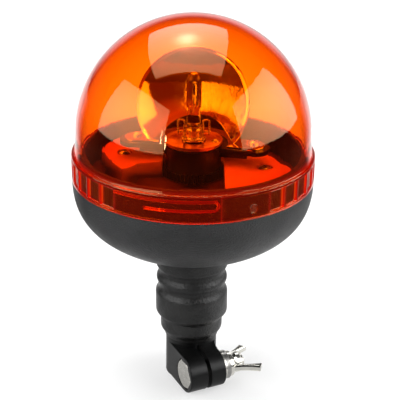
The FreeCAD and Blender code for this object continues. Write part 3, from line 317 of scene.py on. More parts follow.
rubber_neck = turned_mesh("rubber_neck", neck_radius, neck_level, neck_angles)
neck_rubber = finish("neck_rubber", (0.0085, 0.0083, 0.0078), tone=0.8, grain=800.0, patch=90.0,
                     rough=(0.28, 0.52), bump=0.8, depth=0.0006)
rubber_neck.data.materials.append(neck_rubber)
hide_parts("flexible_neck")
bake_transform(rubber_neck)


# Leads in the neck: two insulated copper wires from the contacts up to the terminal block.
# They bend with the rubber sleeve round them.
def round_leads(name, places, low, high, radius):
    """Upright round wires: a ring of points carried from one level to another, each closed."""
    sides, steps = 20, 24
    turn = np.linspace(0.0, 2 * np.pi, sides, endpoint=False)
    levels = np.linspace(low, high, steps)
    points, faces = [], []
    for x, y in places:
        first = len(points) * len(levels) * len(turn)
        grid = np.stack([
            np.tile(x + radius * np.cos(turn), (len(levels), 1)),
            np.tile(y + radius * np.sin(turn), (len(levels), 1)),
            np.repeat(levels[:, None], len(turn), axis=1)], axis=2) / 1000
        index = np.arange(grid.shape[0] * grid.shape[1]).reshape(grid.shape[:2]) + first
        beside = np.roll(index, -1, axis=1)
        wall = np.stack([index[:-1], beside[:-1], beside[1:], index[1:]], axis=2).reshape(-1, 4)
        points.append(grid.reshape(-1, 3))
        faces += wall.tolist() + [index[0][::-1].tolist(), index[-1].tolist()]
    mesh = bpy.data.meshes.new(name)
    mesh.from_pydata(np.concatenate(points), [], faces)
    mesh.polygons.foreach_set("use_smooth", np.array([len(face) == 4 for face in faces]))
    made = bpy.data.objects.new(name, mesh)
    scene.collection.objects.link(made)
    return made


lead_plastic = finish("lead_plastic", (0.45, 0.02, 0.02), tone=0.2, grain=1200.0, patch=150.0,
                      rough=(0.35, 0.5), bump=0.15, depth=0.00008)
neck_wires = round_leads("neck_wires", [(-2.5, 0.0), (2.5, 0.0)], low=56.0, high=90.0, radius=1.1)
neck_wires.data.materials.append(lead_plastic)
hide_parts("neck_leads")
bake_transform(neck_wires)
dress(lead_plastic, "lamp_leads", "motor_leads")

# Base bowl: the black shell under the lens, moulded in one piece with its rim, lugs and pillars.
# Its outside has a fine spark-eroded texture that scatters the light.
base_black = finish("base_black", (0.018, 0.018, 0.0185), tone=0.3, grain=1100.0, patch=45.0,
                    rough=(0.36, 0.50), bump=1.0, depth=0.0010)
dress(base_black, "base_bowl")

# Seal, plates, screws and terminal block inside the bowl. The seal is black rubber, the neck plate
# and screws are zinc-plated steel, the lamp's plate has a yellow passivated film on its zinc, and the
# terminal block is white moulded plastic.
seal_rubber = finish("seal_rubber", (0.015, 0.015, 0.015), tone=0.2, grain=900.0, patch=80.0,
                     rough=(0.45, 0.6), bump=0.2, depth=0.0001)
dress(seal_rubber, "lens_seal")
zinc_plate = finish("zinc_plate", (0.66, 0.66, 0.63), tone=0.25, grain=1500.0, patch=120.0,
                    rough=(0.18, 0.34), bump=0.2, depth=0.00008, metal=1.0)
dress(zinc_plate, "retaining_plate", "plate_screws", "frame_screws", "reflector_screws", "motor_screws",
      "plate_rivet")
yellow_zinc = finish("yellow_zinc", (0.86, 0.45, 0.16), tone=0.3, grain=1500.0, patch=120.0,
                     rough=(0.26, 0.42), bump=0.2, depth=0.00008, metal=1.0)
dress(yellow_zinc, "lamp_plate")
terminal_white = finish("terminal_white", (0.80, 0.79, 0.75), tone=0.1, grain=1200.0, patch=80.0,
                        rough=(0.35, 0.5), bump=0.15, depth=0.0001)
dress(terminal_white, "terminal_block")

# Mechanism frame: the floor with two raised blocks that carries the motor and the lamp column.
# Ivory plastic, moulded, held to the bowl's pillars by screws in dished recesses. Painted shade
# darkens its colour from the blocks' tops down to its floor.
frame_ivory = finish("frame_ivory", (0.82, 0.34, 0.24), tone=0.15, grain=1300.0, patch=60.0,
                     rough=(0.32, 0.46), bump=0.2, depth=0.0001)
frame_tree = frame_ivory.node_tree
frame_shader = frame_tree.nodes["Principled BSDF"]
# Painted shade: below the blocks' tops the colour is mixed towards a dark brown, strongest at the floor.
painted_shade_colour, painted_shade_strength, painted_shade_reach, unshaded_reach = (0.030, 0.012, 0.008, 1.0), 0.92, 0.0080, 0.0006
block_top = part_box("mechanism_frame")[1][2]
frame_place = frame_tree.nodes.new("ShaderNodeTexCoord").outputs["Object"]
frame_height = add_node(frame_tree, "ShaderNodeSeparateXYZ", {"Vector": frame_place}).outputs["Z"]
painted_shade_mask = ranged(frame_tree, frame_height, block_top - painted_shade_reach, block_top - unshaded_reach, painted_shade_strength, 0.0)
frame_tone = frame_shader.inputs["Base Color"].links[0].from_socket
fill(frame_tree, frame_shader, {"Base Color": mixed(frame_tree, painted_shade_mask, frame_tone, painted_shade_colour)})
dress(frame_ivory, "mechanism_frame")

# Lamp column and rotor hub: black acetal mouldings, the one fixed and the other turning on it.
hub_black = finish("hub_black", (0.002, 0.002, 0.002), tone=0.25, grain=1300.0, patch=110.0,
                   rough=(0.30, 0.44), bump=0.2, depth=0.0001)
dress(hub_black, "lamp_column", "rotor_hub")

# Halogen lamp: nickel-plated base and sleeve, clear quartz tube, tungsten filament, and the bent
# wire clip that holds the lamp's flange down on its plate.
lamp_metal = finish("lamp_metal", (0.66, 0.63, 0.58), tone=0.3, grain=1600.0, patch=160.0,
                    rough=(0.16, 0.32), bump=0.2, depth=0.00008, metal=1.0)
dress(lamp_metal, "lamp_clip")
lamp_turns = np.linspace(0.0, 2 * np.pi, 64, endpoint=False)
base_rows = np.array([(0.0, 152.7), (6.9, 152.7), (7.0, 152.8), (7.0, 153.4), (6.9, 153.5), (5.3, 153.5),
                      (4.9, 153.8), (4.7, 154.4), (4.7, 158.0), (4.95, 158.3), (4.95, 159.1), (4.7, 159.4),
                      (4.7, 160.7), (4.5, 160.9), (3.9, 160.9), (3.8, 160.7), (3.8, 157.0), (0.0, 157.0)])
lamp_cap = turned_mesh("lamp_cap", np.repeat(base_rows[:, :1], len(lamp_turns), axis=1),
                       np.repeat(base_rows[:, 1:], len(lamp_turns), axis=1), lamp_turns, len(base_rows) - 1)
tidy_mesh(lamp_cap, sharp=40.0)
lamp_cap.data.materials.append(lamp_metal)
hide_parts("lamp_base")
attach(lamp_cap, "beacon_head")
tungsten = finish("tungsten", (0.30, 0.29, 0.28), tone=0.3, grain=2500.0, patch=300.0,
                  rough=(0.35, 0.5), bump=0.2, depth=0.00005, metal=1.0)
dress(tungsten, "lamp_filament")


def clear_glass(label, colour, ior, shadow):
    """Clear solid that bends light, with a Transparent shader for rays from lamps only."""
    made = bpy.data.materials.new(label)
    made.use_nodes = True
    tree = made.node_tree
    shader = tree.nodes["Principled BSDF"]
    fill(tree, shader, {
        "Base Color": (*colour, 1.0), "Transmission Weight": 1.0, "Roughness": 0.0, "IOR": ior})
    through = add_node(tree, "ShaderNodeBsdfTransparent", {"Color": (*shadow, 1.0)}).outputs["BSDF"]
    lamp_ray = tree.nodes.new("ShaderNodeLightPath").outputs["Is Shadow Ray"]
    chosen = add_node(tree, "ShaderNodeMixShader", {0: lamp_ray, 1: shader.outputs["BSDF"], 2: through})
    fill(tree, tree.nodes["Material Output"], {"Surface": chosen.outputs["Shader"]})
    return made, tree, shader


quartz, quartz_tree, quartz_shader = clear_glass("quartz", (0.98, 0.98, 0.98), 1.46, (0.95, 0.95, 0.95))
quartz_bump = bumped(quartz_tree, noise(quartz_tree, scale=260.0), strength=0.12, distance=0.0003)
fill(quartz_tree, quartz_shader, {"Normal": quartz_bump})


def quartz_shell(name, low, top, tip, radius, pinch, pinch_top):
    """Tube with a flattened foot and a domed top: across = radius, through = pinch + (radius -
    pinch) (3t^2-2t^3) with t from the foot's top upwards, and a quarter ellipse for the dome."""
    foot_trim, swell_below, swell_length, foot_face = 0.35, 3.0, 4.5, math.radians(-116.0)
    level = np.concatenate([[low], np.linspace(low, pinch_top, 8), np.linspace(pinch_top, top, 16)[1:]])
    t = np.clip((level - pinch_top + swell_below) / swell_length, 0.0, 1.0)
    blend = t * t * (3 - 2 * t)
    across = radius - foot_trim + foot_trim * blend
    through = pinch + (radius - pinch) * blend
    across[0] = through[0] = 0.0
    rise = np.linspace(0.0, np.pi / 2, 12)[1:]
    level = np.concatenate([level, top + (tip - top) * np.sin(rise)])
    across = np.concatenate([across, radius * np.cos(rise)])
    through = np.concatenate([through, radius * np.cos(rise)])
    u = across[:, None] * np.cos(lamp_turns)
    v = through[:, None] * np.sin(lamp_turns)
    x = -u * math.sin(foot_face) + v * math.cos(foot_face)
    y = u * math.cos(foot_face) + v * math.sin(foot_face)
    points = np.stack([x, y, np.repeat(level[:, None], len(lamp_turns), axis=1)], axis=2)
    made = grid_mesh(name, points, len(level) - 1)
    tidy_mesh(made, sharp=60.0)
    return made


def join_mesh(made, other):
    """Adds another object's mesh to an object's own, and removes that object."""
    both = bmesh.new()
    both.from_mesh(made.data)
    both.from_mesh(other.data)
    both.to_mesh(made.data)
    both.free()
    bpy.data.objects.remove(other)


lamp_tube = quartz_shell("lamp_tube", low=157.2, top=187.8, tip=193.0, radius=4.3, pinch=1.5,
                         pinch_top=173.0)
lamp_hollow = quartz_shell("lamp_hollow", low=172.6, top=187.6, tip=191.6, radius=3.5, pinch=2.6,
                           pinch_top=173.4)
lamp_hollow.data.flip_normals()
join_mesh(lamp_tube, lamp_hollow)
lamp_tube.data.materials.append(quartz)
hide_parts("lamp_glass")
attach(lamp_tube, "beacon_head")

# Motor: a small direct-current motor in a plated steel can, hung under the frame by two screws.
motor_steel = finish("motor_steel", (0.60, 0.60, 0.58), tone=0.25, grain=1500.0, patch=110.0,
                     rough=(0.20, 0.36), bump=0.2, depth=0.00008, metal=1.0)
dress(motor_steel, "motor_body")

# Reflector: a moulded parabolic dish with its foot plate, vacuum metallised with aluminium and
# lacquered. The moulding's slight ripple shows in what it mirrors.
mirror_metal = finish("mirror_metal", (0.93, 0.92, 0.90), tone=0.08, grain=130.0, patch=60.0,
                      rough=(0.04, 0.10), bump=0.15, depth=0.0005, metal=1.0)
dish_turn, dish_tilt = math.radians(-126.0), math.radians(17.0)
dish_focus, focus_level, dish_wall = 21.5, 178.0, 1.5
dish_radius, flange_width, rim_shift, rim_drop = 31.2, 1.9, 2.2, 4.4
arch_half, arch_rise, plate_low, plate_top = 20.0, 12.5, 149.5, 151.0
flat_way = np.array([math.cos(dish_turn), math.sin(dish_turn), 0.0])
across_way = np.array([-math.sin(dish_turn), math.cos(dish_turn), 0.0])
dish_way = flat_way * math.cos(dish_tilt) + np.array([0.0, 0.0, math.sin(dish_tilt)])
over_way = np.array([0.0, 0.0, math.cos(dish_tilt)]) - flat_way * math.sin(dish_tilt)


def in_dish(u, v, x):
    """Places of points u across, v over and x along the dish's optical axis from its focus."""
    place = u[..., None] * across_way + v[..., None] * over_way + x[..., None] * dish_way
    return place + np.array([0.0, 0.0, focus_level])


def bowl_depth(u, v):
    """Paraboloid about the focus: x = (u^2 + v^2) / 4f - f."""
    return (u * u + v * v) / (4 * dish_focus) - dish_focus


dish_turns = np.linspace(0.0, 2 * np.pi, 720, endpoint=False)
middle_v, longest_reach, reach_steps, dish_rows, foot_bite = 2.0, 45.0, 2400, 48, 0.3
reach = np.linspace(0.0, longest_reach, reach_steps)[:, None]
trial_u = reach * np.sin(dish_turns)
trial_v = middle_v + reach * np.cos(dish_turns)
trial_z = in_dish(trial_u, trial_v, bowl_depth(trial_u, trial_v))[..., 2]
in_rim = np.hypot(trial_u + rim_shift, trial_v + rim_drop) <= dish_radius
in_foot = trial_z >= plate_low + foot_bite
in_arch = (trial_u / arch_half)**2 + (np.maximum(trial_z - plate_low, 0.0) / arch_rise)**2 < 1.0
allowed = in_rim & in_foot & ~in_arch
last = np.argmin(allowed, axis=0) - 1
edge_reach = reach[last, 0]
at_rim = ~in_rim[last + 1, np.arange(len(dish_turns))]
share = np.linspace(0.0, 1.0, dish_rows)[:, None]
u = edge_reach * share * np.sin(dish_turns)
v = middle_v + edge_reach * share * np.cos(dish_turns)
front = in_dish(u, v, bowl_depth(u, v))
steep = np.sqrt(1 + (u * u + v * v) / (4 * dish_focus**2))
back = in_dish(u + u / (2 * dish_focus) / steep * dish_wall, v + v / (2 * dish_focus) / steep * dish_wall,
               bowl_depth(u, v) - dish_wall / steep)
rim_u, rim_v = u[-1], v[-1]
out_u, out_v = (rim_u + rim_shift) / dish_radius, (rim_v + rim_drop) / dish_radius
wide = np.where(at_rim, flange_width, 0.0)
rim_x = bowl_depth(rim_u, rim_v)
flange_edge, flange_wall = 0.15, 1.2
flange = [in_dish(rim_u + out_u * (wide - trim), rim_v + out_v * (wide - trim), rim_x - fall)
          for trim, fall in ((flange_edge, 0.0), (0.0, flange_edge), (0.0, flange_wall - flange_edge),
                             (flange_edge, flange_wall))]
flange = [np.where(at_rim[:, None], row, front[-1] if number < 2 else back[-1])
          for number, row in enumerate(flange)]
dish = grid_mesh("chrome_reflector", np.concatenate([front, np.stack(flange), back[::-1]]),
                 len(front) + len(flange) + len(back) - 1)
tidy_mesh(dish, sharp=35.0)

# The reflector's foot: a flat plate with an arm to each side, round a hole for the lamp plate. Its
# outline is the longest of a disc, an arm between two straight lines, and the arm's round tip.
foot_hole, foot_disc, arm_back, arm_front = 20.0, 26.0, 9.5, 4.0
arm_face, arm_lean, foot_edge, least_width, tiny = 2.84, 0.081, 0.2, 0.3, 1e-6
tip_middle, tip_radius, tip_shift = 33.26, 7.74, -1.76
foot_turns = np.radians(np.linspace(77.4, 282.6, 500))
c, s = np.cos(foot_turns), np.abs(np.sin(foot_turns))
line = np.where(c < 0, arm_back / np.maximum(-c, tiny), arm_face / np.maximum(c - arm_lean * s, tiny))
along = tip_shift * c + tip_middle * s
inside_tip = np.maximum(along**2 - (tip_shift**2 + tip_middle**2 - tip_radius**2), 0.0)
arm = np.where(line * s < tip_middle, line, along + np.sqrt(inside_tip))
foot_out = np.maximum(np.where(foot_disc * c < arm_front, foot_disc, 0.0), arm)
foot_out = np.maximum(foot_out, foot_hole + least_width)
foot_way = foot_turns + dish_turn
foot_points = np.stack([
    np.stack(np.broadcast_arrays(away * np.cos(foot_way), away * np.sin(foot_way), level), axis=1)
    for away, level in (
        (foot_hole, plate_low), (foot_hole, plate_top - foot_edge), (foot_hole + foot_edge, plate_top),
        (foot_out - foot_edge, plate_top), (foot_out, plate_top - foot_edge), (foot_out, plate_low))])
foot_index = np.arange(foot_points.shape[0] * foot_points.shape[1]).reshape(foot_points.shape[:2])
above_index = np.roll(foot_index, -1, axis=0)
foot_faces = np.stack([foot_index[:, :-1], foot_index[:, 1:], above_index[:, 1:], above_index[:, :-1]],
                      axis=2).reshape(-1, 4).tolist()
foot_faces += [foot_index[:, 0].tolist(), foot_index[::-1, -1].tolist()]
foot_mesh = bpy.data.meshes.new("reflector_foot")
foot_mesh.from_pydata(foot_points.reshape(-1, 3) / 1000, [], foot_faces)
foot = bpy.data.objects.new("reflector_foot", foot_mesh)
tidy_mesh(foot, sharp=25.0)
join_mesh(dish, foot)
dish.data.materials.append(mirror_metal)
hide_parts("reflector")
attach(dish, "rotor")


# Lens: the dome and its grip ring in one injection moulding of clear amber polycarbonate. Groups
# of shallow pockets make the ring's grip, and hooked tracks inside it catch the bowl's lugs.
def soft_step(value, edge, width):
    """0 below an edge and 1 above it, by 3t^2-2t^3 over a width."""
    t = np.clip((value - edge) / width + 0.5, 0.0, 1.0)
    return t * t * (3 - 2 * t)


def band(value, low, high, width):
    """1 between two edges and 0 outside them, softly."""
    return soft_step(value, low, width) * (1 - soft_step(value, high, width))


lens_front, lens_groups, seam, ring_top = -116.0, 3, 130.5, 146.1
ring_radius, ring_wall, dome_radius, dome_centre = 70.0, 2.2, 67.3, 157.2
foot_radius = 68.2
rib_pitch, rib_width, rib_start, ribs = 9.6, 1.7, 36.0, 6
pocket_depth, pocket_low, pocket_high, pocket_slope, pocket_turn = 0.8, 132.5, 144.1, 0.45, 0.5
track_low, track_high, track_half, track_slope, no_track = 137.1, 142.3, 0.6, 0.35, 9.0
track_start, track_lead, track_end, track_depth = -22.0, -38.0, 12.0, 2.0
pad_start, pad_end, pad_depth, pad_turn, pad_slope = -40.0, 12.9, 0.35, 0.3, 0.5
mark_angle, mark_level, mark_radius, mark_depth, mark_slope = 28.0, 136.5, 2.3, 0.35, 0.5

# The grid's columns and rows lie close together where a pocket, pad, track or mark has an edge.
coarse_turn, fine_step, least_turn, sphere_rows = 2.5, 0.3, 0.06, 44
group_turn = 360.0 / lens_groups
group_turns = np.arange(lens_groups) * group_turn
pocket_middles = rib_start + (np.arange(ribs - 1) + 0.5) * rib_pitch + group_turns[:, None]
pocket_half = (rib_pitch - rib_width) / 2
pocket_edges = (pocket_middles[..., None] + np.array([-pocket_half, pocket_half])).reshape(-1)
track_middle = (track_low + track_high) / 2
track_bend = (track_high - track_low) / 2
fine = [np.arange(0.0, 360.0, coarse_turn)]
fine += [pocket_edges + step for step in (-0.22, -0.08, 0.08, 0.22)]
for turn in group_turns:
    for edge in (track_start, track_lead, pad_start, pad_end):
        fine.append(edge + turn + np.array([-0.4, -0.15, 0.15, 0.4]))
    fine.append(turn + np.arange(track_end - 4.5, track_end + 1.2, fine_step))
fine.append(mark_angle + np.arange(-2.4, 2.5, fine_step))
lens_turns = np.unique(np.round(np.concatenate(fine) % 360.0, 3))
lens_turns = lens_turns[np.append(np.diff(lens_turns) > least_turn, True)]
around = lens_turns[None, :]
third = (around + group_turn / 2) % group_turn - group_turn / 2
sphere_turn = np.linspace(0.0, np.pi / 2, sphere_rows)[1:]
edge_rows = np.array([-0.2, -0.07, 0.07, 0.2])
wall_levels = np.unique(np.concatenate([
    np.linspace(seam + 0.3, ring_top - 0.6, 14), pocket_low + edge_rows, pocket_high + edge_rows,
    np.arange(mark_level - mark_radius - 0.3, mark_level + mark_radius + 0.4, fine_step)]).round(3))
outer_rows = np.concatenate([
    [(ring_radius - 0.25, seam)],
    np.stack([np.full(len(wall_levels), ring_radius), wall_levels], axis=1),
    [(ring_radius - 0.18, ring_top - 0.18), (ring_radius - 0.6, ring_top), (foot_radius + 0.5, ring_top),
     (foot_radius + 0.15, ring_top + 0.12), (foot_radius, ring_top + 0.5), (dome_radius + 0.6, 150.0),
     (dome_radius + 0.2, 154.0), (dome_radius, dome_centre)],
    np.stack([dome_radius * np.cos(sphere_turn), dome_centre + dome_radius * np.sin(sphere_turn)], axis=1)])
outer_rows[-1, 0] = 0.0
inner_sphere = dome_radius - ring_wall
inner_ring = ring_radius - ring_wall
inner_top = ring_top - ring_wall
inner_levels = np.unique(np.concatenate([
    np.linspace(seam + 0.2, inner_top - 0.3, 12),
    np.arange(track_low - 1.2, track_high + 1.3, fine_step)]).round(3))[::-1]
inner_rows = np.concatenate([
    np.stack([inner_sphere * np.cos(sphere_turn[::-1]),
              dome_centre + inner_sphere * np.sin(sphere_turn[::-1])], axis=1),
    [(inner_sphere, dome_centre), (inner_sphere + 0.4, 152.0), (inner_sphere + 0.8, inner_top + 0.5),
     (inner_sphere + 1.0, inner_top + 0.1), (inner_ring - 0.5, inner_top),
     (inner_ring - 0.1, inner_top - 0.1)],
    np.stack([np.full(len(inner_levels), inner_ring), inner_levels], axis=1),
    [(inner_ring + 0.2, seam)]])
inner_rows[0, 0] = 0.0
rows = np.concatenate([outer_rows, inner_rows])
radius = np.repeat(rows[:, :1], len(lens_turns), axis=1)
level = np.repeat(rows[:, 1:], len(lens_turns), axis=1)

on_wall = slice(1, 1 + len(wall_levels))
on_ledge = slice(on_wall.stop, on_wall.stop + 5)
wall = level[on_wall]
pockets = band(around, pocket_edges[::2, None], pocket_edges[1::2, None], pocket_turn).max(axis=0)
radius[on_wall] -= pocket_depth * pockets * band(wall, pocket_low, pocket_high, pocket_slope)
mark_away = np.hypot((around - mark_angle) * math.radians(1.0) * ring_radius, wall - mark_level)
mark_mask = 1 - soft_step(mark_away, mark_radius, mark_slope)
radius[on_wall] -= mark_depth * mark_mask

inside = slice(len(rows) - 1 - len(inner_levels), len(rows) - 1)
inner = level[inside]
pad = band(third, pad_start, pad_end, pad_turn)
radius[inside] -= pad_depth * pad * band(inner, seam + 0.8, inner_top - 0.4, pad_slope)
arc = third * math.radians(1.0) * inner_ring
bend_at = (track_end * math.radians(1.0) * inner_ring) - track_bend
lower = np.where(third < track_start, no_track, np.abs(inner - track_low))
upper = np.where(third < track_lead, no_track, np.abs(inner - track_high))
bend = np.abs(np.hypot(arc - bend_at, inner - track_middle) - track_bend)
away = np.where(arc < bend_at, np.minimum(lower, upper), bend)
tracks = 1 - soft_step(away, track_half, track_slope)
radius[inside] -= (track_depth - pad_depth) * tracks

angles = np.radians(lens_turns + lens_front)
lens = turned_mesh("amber_lens", radius, level, angles, pole_row=len(outer_rows) - 1)

# Painted glow: a red emission on the pockets' edges, the moulding line, the seam, the ring's top edge
# and ledge, and the tracks, in place of light caught in the ring's edges. The frost is on the round mark.
wall_glow, line_glow, mould_share, ledge_glow, track_glow = 0.05, 0.24, 0.8, 0.22, 0.16
seam_glow, seam_reach, top_glow, top_reach = 0.40, 0.9, 0.25, 0.8
line_reach, mould_reach, pocket_margin, margin_slope = 0.45, 0.35, 0.3, 0.6
mould_line = bell(third, pad_end, mould_reach)
pocket_side = bell(around, pocket_edges[:, None], line_reach).max(axis=0)
in_pocket = band(wall, pocket_low - pocket_margin, pocket_high + pocket_margin, margin_slope)
pocket_sill = np.maximum(bell(wall, pocket_low, line_reach), bell(wall, pocket_high, line_reach))
pocket_line = np.maximum(pocket_side * in_pocket, pockets * pocket_sill)
frost, glow = np.zeros_like(radius), np.zeros_like(radius)
frost[on_wall] = mark_mask
glow[on_wall] = wall_glow + line_glow * np.maximum(pocket_line, mould_share * mould_line)
glow[on_wall] += seam_glow * bell(wall, seam, seam_reach) + top_glow * bell(wall, ring_top, top_reach)
glow[on_ledge] = ledge_glow
glow[inside] = track_glow * tracks
for label, values in (("frost", frost), ("glow", glow)):
    layer = lens.data.attributes.new(label, "FLOAT", "POINT")
    layer.data.foreach_set("value", values.reshape(-1).astype(np.float32))
tidy_mesh(lens)

amber, amber_tree, amber_shader = clear_glass("amber_polycarbonate", (1.0, 1.0, 1.0), 1.62,
                                              (0.70, 0.055, 0.001))
dye = add_node(amber_tree, "ShaderNodeVolumeAbsorption", {
    "Color": (0.999, 0.735, 0.01, 1.0), "Density": 1590.0})
fill(amber_tree, amber_tree.nodes["Material Output"], {"Volume": dye.outputs["Volume"]})
# The glow attribute drives the painted red emission, and the frost attribute drives the roughness.
frosted = add_node(amber_tree, "ShaderNodeAttribute", {}, attribute_name="frost").outputs["Fac"]
glowing = add_node(amber_tree, "ShaderNodeAttribute", {}, attribute_name="glow").outputs["Fac"]
fill(amber_tree, amber_shader, {
    "Specular Tint": (1.0, 0.66, 0.32, 1.0),
    "Emission Color": mixed(amber_tree, glowing, (0.0, 0.0, 0.0, 1.0), (1.0, 0.02, 0.006, 1.0)),
    "Emission Strength": 1.0,
    "Roughness": ranged(amber_tree, frosted, low=0.0, high=1.0, start=0.015, end=0.5),
    "Normal": bumped(amber_tree, noise(amber_tree, scale=30.0), strength=0.05, distance=0.0005)})
lens.data.materials.append(amber)
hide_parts("lens_dome")
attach(lens, "lens")


# Setting: a white paper floor that keeps the beacon's soft shadow. It shows white to the camera,
# through the lens, and to whatever mirrors it near the clamp, close on the right or from behind. By
# way of the dish it shows through the lens as a dim red.
view_turn = math.radians(26.0)
to_right = Vector((math.cos(view_turn), -math.sin(view_turn), 0.0))
to_back = Vector((math.sin(view_turn), math.cos(view_turn), 0.0))
upright = Vector((0.0, 0.0, 1.0))


def vector_calc(tree, operation, *values):
    """Result of one operation on directions: a number for a length or a dot product."""
    made = add_node(tree, "ShaderNodeVectorMath", dict(enumerate(values)), operation=operation)
    return made.outputs["Value" if operation in ("LENGTH", "DOT_PRODUCT") else "Vector"]


def ramp(tree, value, low, high, start=0.0, end=1.0):
    """Smooth ramp of a value from one level to another between two edges, by 3t^2-2t^3."""
    return ranged(tree, value, low, high, start, end, curve="SMOOTHSTEP")


def largest(tree, first, *others):
    """The largest of several values."""
    for other in others:
        first = calc(tree, "MAXIMUM", first, other)
    return first


def product(tree, first, *others):
    """Several values multiplied."""
    for other in others:
        first = calc(tree, "MULTIPLY", first, other)
    return first


def ray_kinds(tree):
    """A ray's kinds: camera, through the lens, mirrored, scattered, and one more that is 1 until the
    ray is mirrored or scattered."""
    path = tree.nodes.new("ShaderNodeLightPath").outputs
    bounced = calc(tree, "ADD", path["Glossy Depth"], path["Diffuse Depth"])
    return (path["Is Camera Ray"], path["Is Transmission Ray"], path["Is Glossy Ray"],
            path["Is Diffuse Ray"], calc(tree, "LESS_THAN", bounced, 0.5))


def reddened(tree, share):
    """White, and by a share the red of what the dish mirrors through the lens."""
    return mixed(tree, share, (1.0, 1.0, 1.0, 1.0), (1.0, 0.25, 0.10, 1.0))


floor_size, floor_level = 4.0, -0.0002
floor_mesh = bpy.data.meshes.new("floor")
floor_mesh.from_pydata([(x * floor_size, y * floor_size, floor_level)
                        for x, y in ((-1, -1), (1, -1), (1, 1), (-1, 1))], [], [(0, 1, 2, 3)])
floor = bpy.data.objects.new("floor", floor_mesh)
scene.collection.objects.link(floor)
paper = bpy.data.materials.new("white_paper")
paper.use_nodes = True
paper_tree = paper.node_tree
paper_grey, paper_white, glow_white, glow_through, glow_dish, glow_far = 0.8, 0.45, 0.52, 0.65, 0.22, 0.45
paper_camera, paper_lens, paper_gloss, _, paper_direct = ray_kinds(paper_tree)
paper_place = paper_tree.nodes.new("ShaderNodeTexCoord").outputs["Object"]
paper_flat = vector_calc(paper_tree, "MULTIPLY", paper_place, (1.0, 1.0, 0.0))
paper_away = vector_calc(paper_tree, "LENGTH", paper_flat)
paper_way = vector_calc(paper_tree, "NORMALIZE", paper_flat)
paper_behind = ramp(paper_tree, vector_calc(paper_tree, "DOT_PRODUCT", paper_way, to_back), 0.60, 0.85)
paper_right = ramp(paper_tree, vector_calc(paper_tree, "DOT_PRODUCT", paper_way, to_right), 0.55, 0.90)
paper_near = ramp(paper_tree, paper_away, 0.12, 0.22, start=0.64, end=0.03)
paper_close = ramp(paper_tree, paper_away, 0.19, 0.30, start=1.0, end=0.0)
paper_mirrored = product(paper_tree, paper_gloss, largest(
    paper_tree, paper_near, paper_behind, product(paper_tree, paper_right, paper_close)))
paper_through = product(paper_tree, paper_lens, paper_direct)
paper_shown = largest(paper_tree, paper_camera, paper_through, paper_mirrored,
                      product(paper_tree, paper_lens, glow_dish))
paper_any = largest(paper_tree, paper_camera, paper_lens, paper_gloss)
paper_lit = calc(paper_tree, "MULTIPLY_ADD", paper_any, -paper_grey, paper_grey)
paper_outside = calc(paper_tree, "SUBTRACT", paper_gloss, paper_lens)
paper_far = product(
    paper_tree, largest(paper_tree, paper_camera, product(paper_tree, paper_outside, paper_behind)),
    ramp(paper_tree, paper_away, 0.4, 1.1, start=0.0, end=glow_far))
paper_glow = calc(paper_tree, "MULTIPLY_ADD", paper_through, glow_through,
                  product(paper_tree, paper_shown, glow_white))
fill(paper_tree, paper_tree.nodes["Principled BSDF"], {
    "Roughness": 0.9, "Specular IOR Level": 0.0,
    "Base Color": calc(paper_tree, "MULTIPLY_ADD", paper_shown, paper_white, paper_lit),
    "Emission Color": reddened(paper_tree, calc(paper_tree, "SUBTRACT", paper_lens, paper_through)),
    "Emission Strength": calc(paper_tree, "ADD", paper_glow, paper_far)})
floor_mesh.materials.append(paper)

# Surroundings: white to the camera, white and low down to what is seen through the lens, white
# only low and behind to what is mirrored, and nearly dark as a light. By way of the dish they show
# through the lens as a dim red room with a brighter ceiling.
world = bpy.data.worlds.new("studio")
scene.world = world
world.use_nodes = True
world_tree = world.node_tree
world_light, world_dark = 0.08, 0.03
world_camera, world_lens, world_gloss, world_scatter, world_direct = ray_kinds(world_tree)
world_way = world_tree.nodes.new("ShaderNodeTexCoord").outputs["Generated"]
world_height = vector_calc(world_tree, "DOT_PRODUCT", world_way, upright)
world_back = vector_calc(world_tree, "DOT_PRODUCT", world_way, to_back)
world_low = ramp(world_tree, world_height, 0.15, 0.40, start=1.0, end=world_dark)
world_behind = ramp(world_tree, world_back, 0.80, 0.95, start=world_dark, end=1.0)
world_room = ramp(world_tree, world_height, 0.25, 0.55, start=0.20, end=0.62)
world_bounced = calc(world_tree, "SUBTRACT", 1.0, world_direct)
fill(world_tree, world_tree.nodes["Background"], {
    "Strength": largest(
        world_tree, world_camera, product(world_tree, world_lens, world_low, world_direct),
        product(world_tree, world_gloss, world_low, world_behind),
        product(world_tree, world_scatter, world_light), product(world_tree, world_lens, world_room)),
    "Color": reddened(world_tree, product(world_tree, world_lens, world_bounced))})

# Softboxes: three large rectangles, brightest in the middle, and two narrow windows, where their
# reflections on the dome show them, at a level that shows colours about as they are.
dome_middle = Vector((0.0, 0.0, 0.165))


def place_facing(made, side, rise, back, place):
    """Puts a lamp or camera at a place, with its own axes along three directions."""
    made.matrix_world = Matrix.Translation(place) @ Matrix((side, rise, back)).transposed().to_4x4()
    scene.collection.objects.link(made)


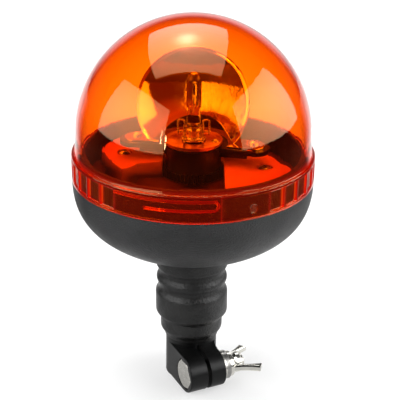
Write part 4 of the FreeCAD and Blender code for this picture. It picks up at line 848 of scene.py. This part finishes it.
def softbox(name, middle, facing, above, width, height, edge, centre, hot=(0.5, 0.5), bulb=0.0):
    """Rectangular lamp with its radiance: edge + (centre - edge) e^-(2d)^2 + bulb e^-(9d)^2, with
    d the distance from the hot point in widths of the lamp."""
    lamp = bpy.data.lights.new(name, "AREA")
    lamp.shape = "RECTANGLE"
    lamp.size = width
    lamp.size_y = height
    lamp.energy = math.pi * width * height
    lamp.use_nodes = True
    tree = lamp.node_tree
    across = tree.nodes.new("ShaderNodeNewGeometry").outputs["Parametric"]
    offset = vector_calc(tree, "SUBTRACT", across, (*hot, 0.0))
    away = vector_calc(tree, "LENGTH", vector_calc(tree, "MULTIPLY", offset, (1.0, 1.0, 0.0)))
    squared = product(tree, away, away)
    wide_bell = calc(tree, "POWER", math.exp(-2.0**2), squared)
    tight_bell = calc(tree, "POWER", math.exp(-9.0**2), squared)
    level = calc(tree, "MULTIPLY_ADD", wide_bell, centre - edge, edge)
    level = calc(tree, "MULTIPLY_ADD", tight_bell, bulb, level)
    fill(tree, tree.nodes["Emission"], {"Strength": level})
    back = -facing.normalized()
    side = above.cross(back).normalized()
    place_facing(bpy.data.objects.new(name, lamp), side, back.cross(side), back, middle)


side_distance, side_width, side_height = 0.60, 0.87, 0.57
left_side = -0.883 * to_right - 0.469 * to_back
softbox("softbox_left", dome_middle + side_distance * left_side + 0.24 * upright, -left_side, upright,
        side_width, side_height, edge=1.9, centre=4.6)
right_side = 0.985 * to_right - 0.174 * to_back
softbox("softbox_right", dome_middle + side_distance * right_side + 0.26 * upright, -right_side, upright,
        side_width, side_height, edge=2.2, centre=5.2)
softbox("softbox_top", dome_middle - 0.10 * to_right + 0.45 * to_back + 0.90 * upright, -upright, to_back,
        width=0.97, height=1.40, edge=2.4, centre=4.4, hot=(0.51, 0.46), bulb=9.0)
window_distance, window_width, window_height = 0.95, 0.012, 0.20
for name, turn, raised in (("window_left", -29.5, 0.19), ("window_right", -25.0, 0.12)):
    window_way = math.sin(math.radians(turn)) * to_right - math.cos(math.radians(turn)) * to_back
    softbox(name, dome_middle + window_distance * window_way + raised * upright, -window_way, upright,
            window_width, window_height, edge=26.0, centre=36.0)

# Camera: as the photograph was taken, from the front left and above, turned slightly about its
# own axis.
camera_data = bpy.data.cameras.new("camera")
camera_data.sensor_width = 36.0
camera_data.lens = 98.28
camera = bpy.data.objects.new("camera", camera_data)
camera_place = Vector((-0.2542, -0.5309, 0.3699))
pitch, roll = math.radians(23.47), math.radians(0.84)
ahead = to_back * math.cos(pitch) - upright * math.sin(pitch)
camera_up = to_right.cross(ahead)
side = to_right * math.cos(roll) + camera_up * math.sin(roll)
rise = camera_up * math.cos(roll) - to_right * math.sin(roll)
place_facing(camera, side, rise, -ahead, camera_place)
scene.camera = camera
scene.view_settings.view_transform = "Standard"
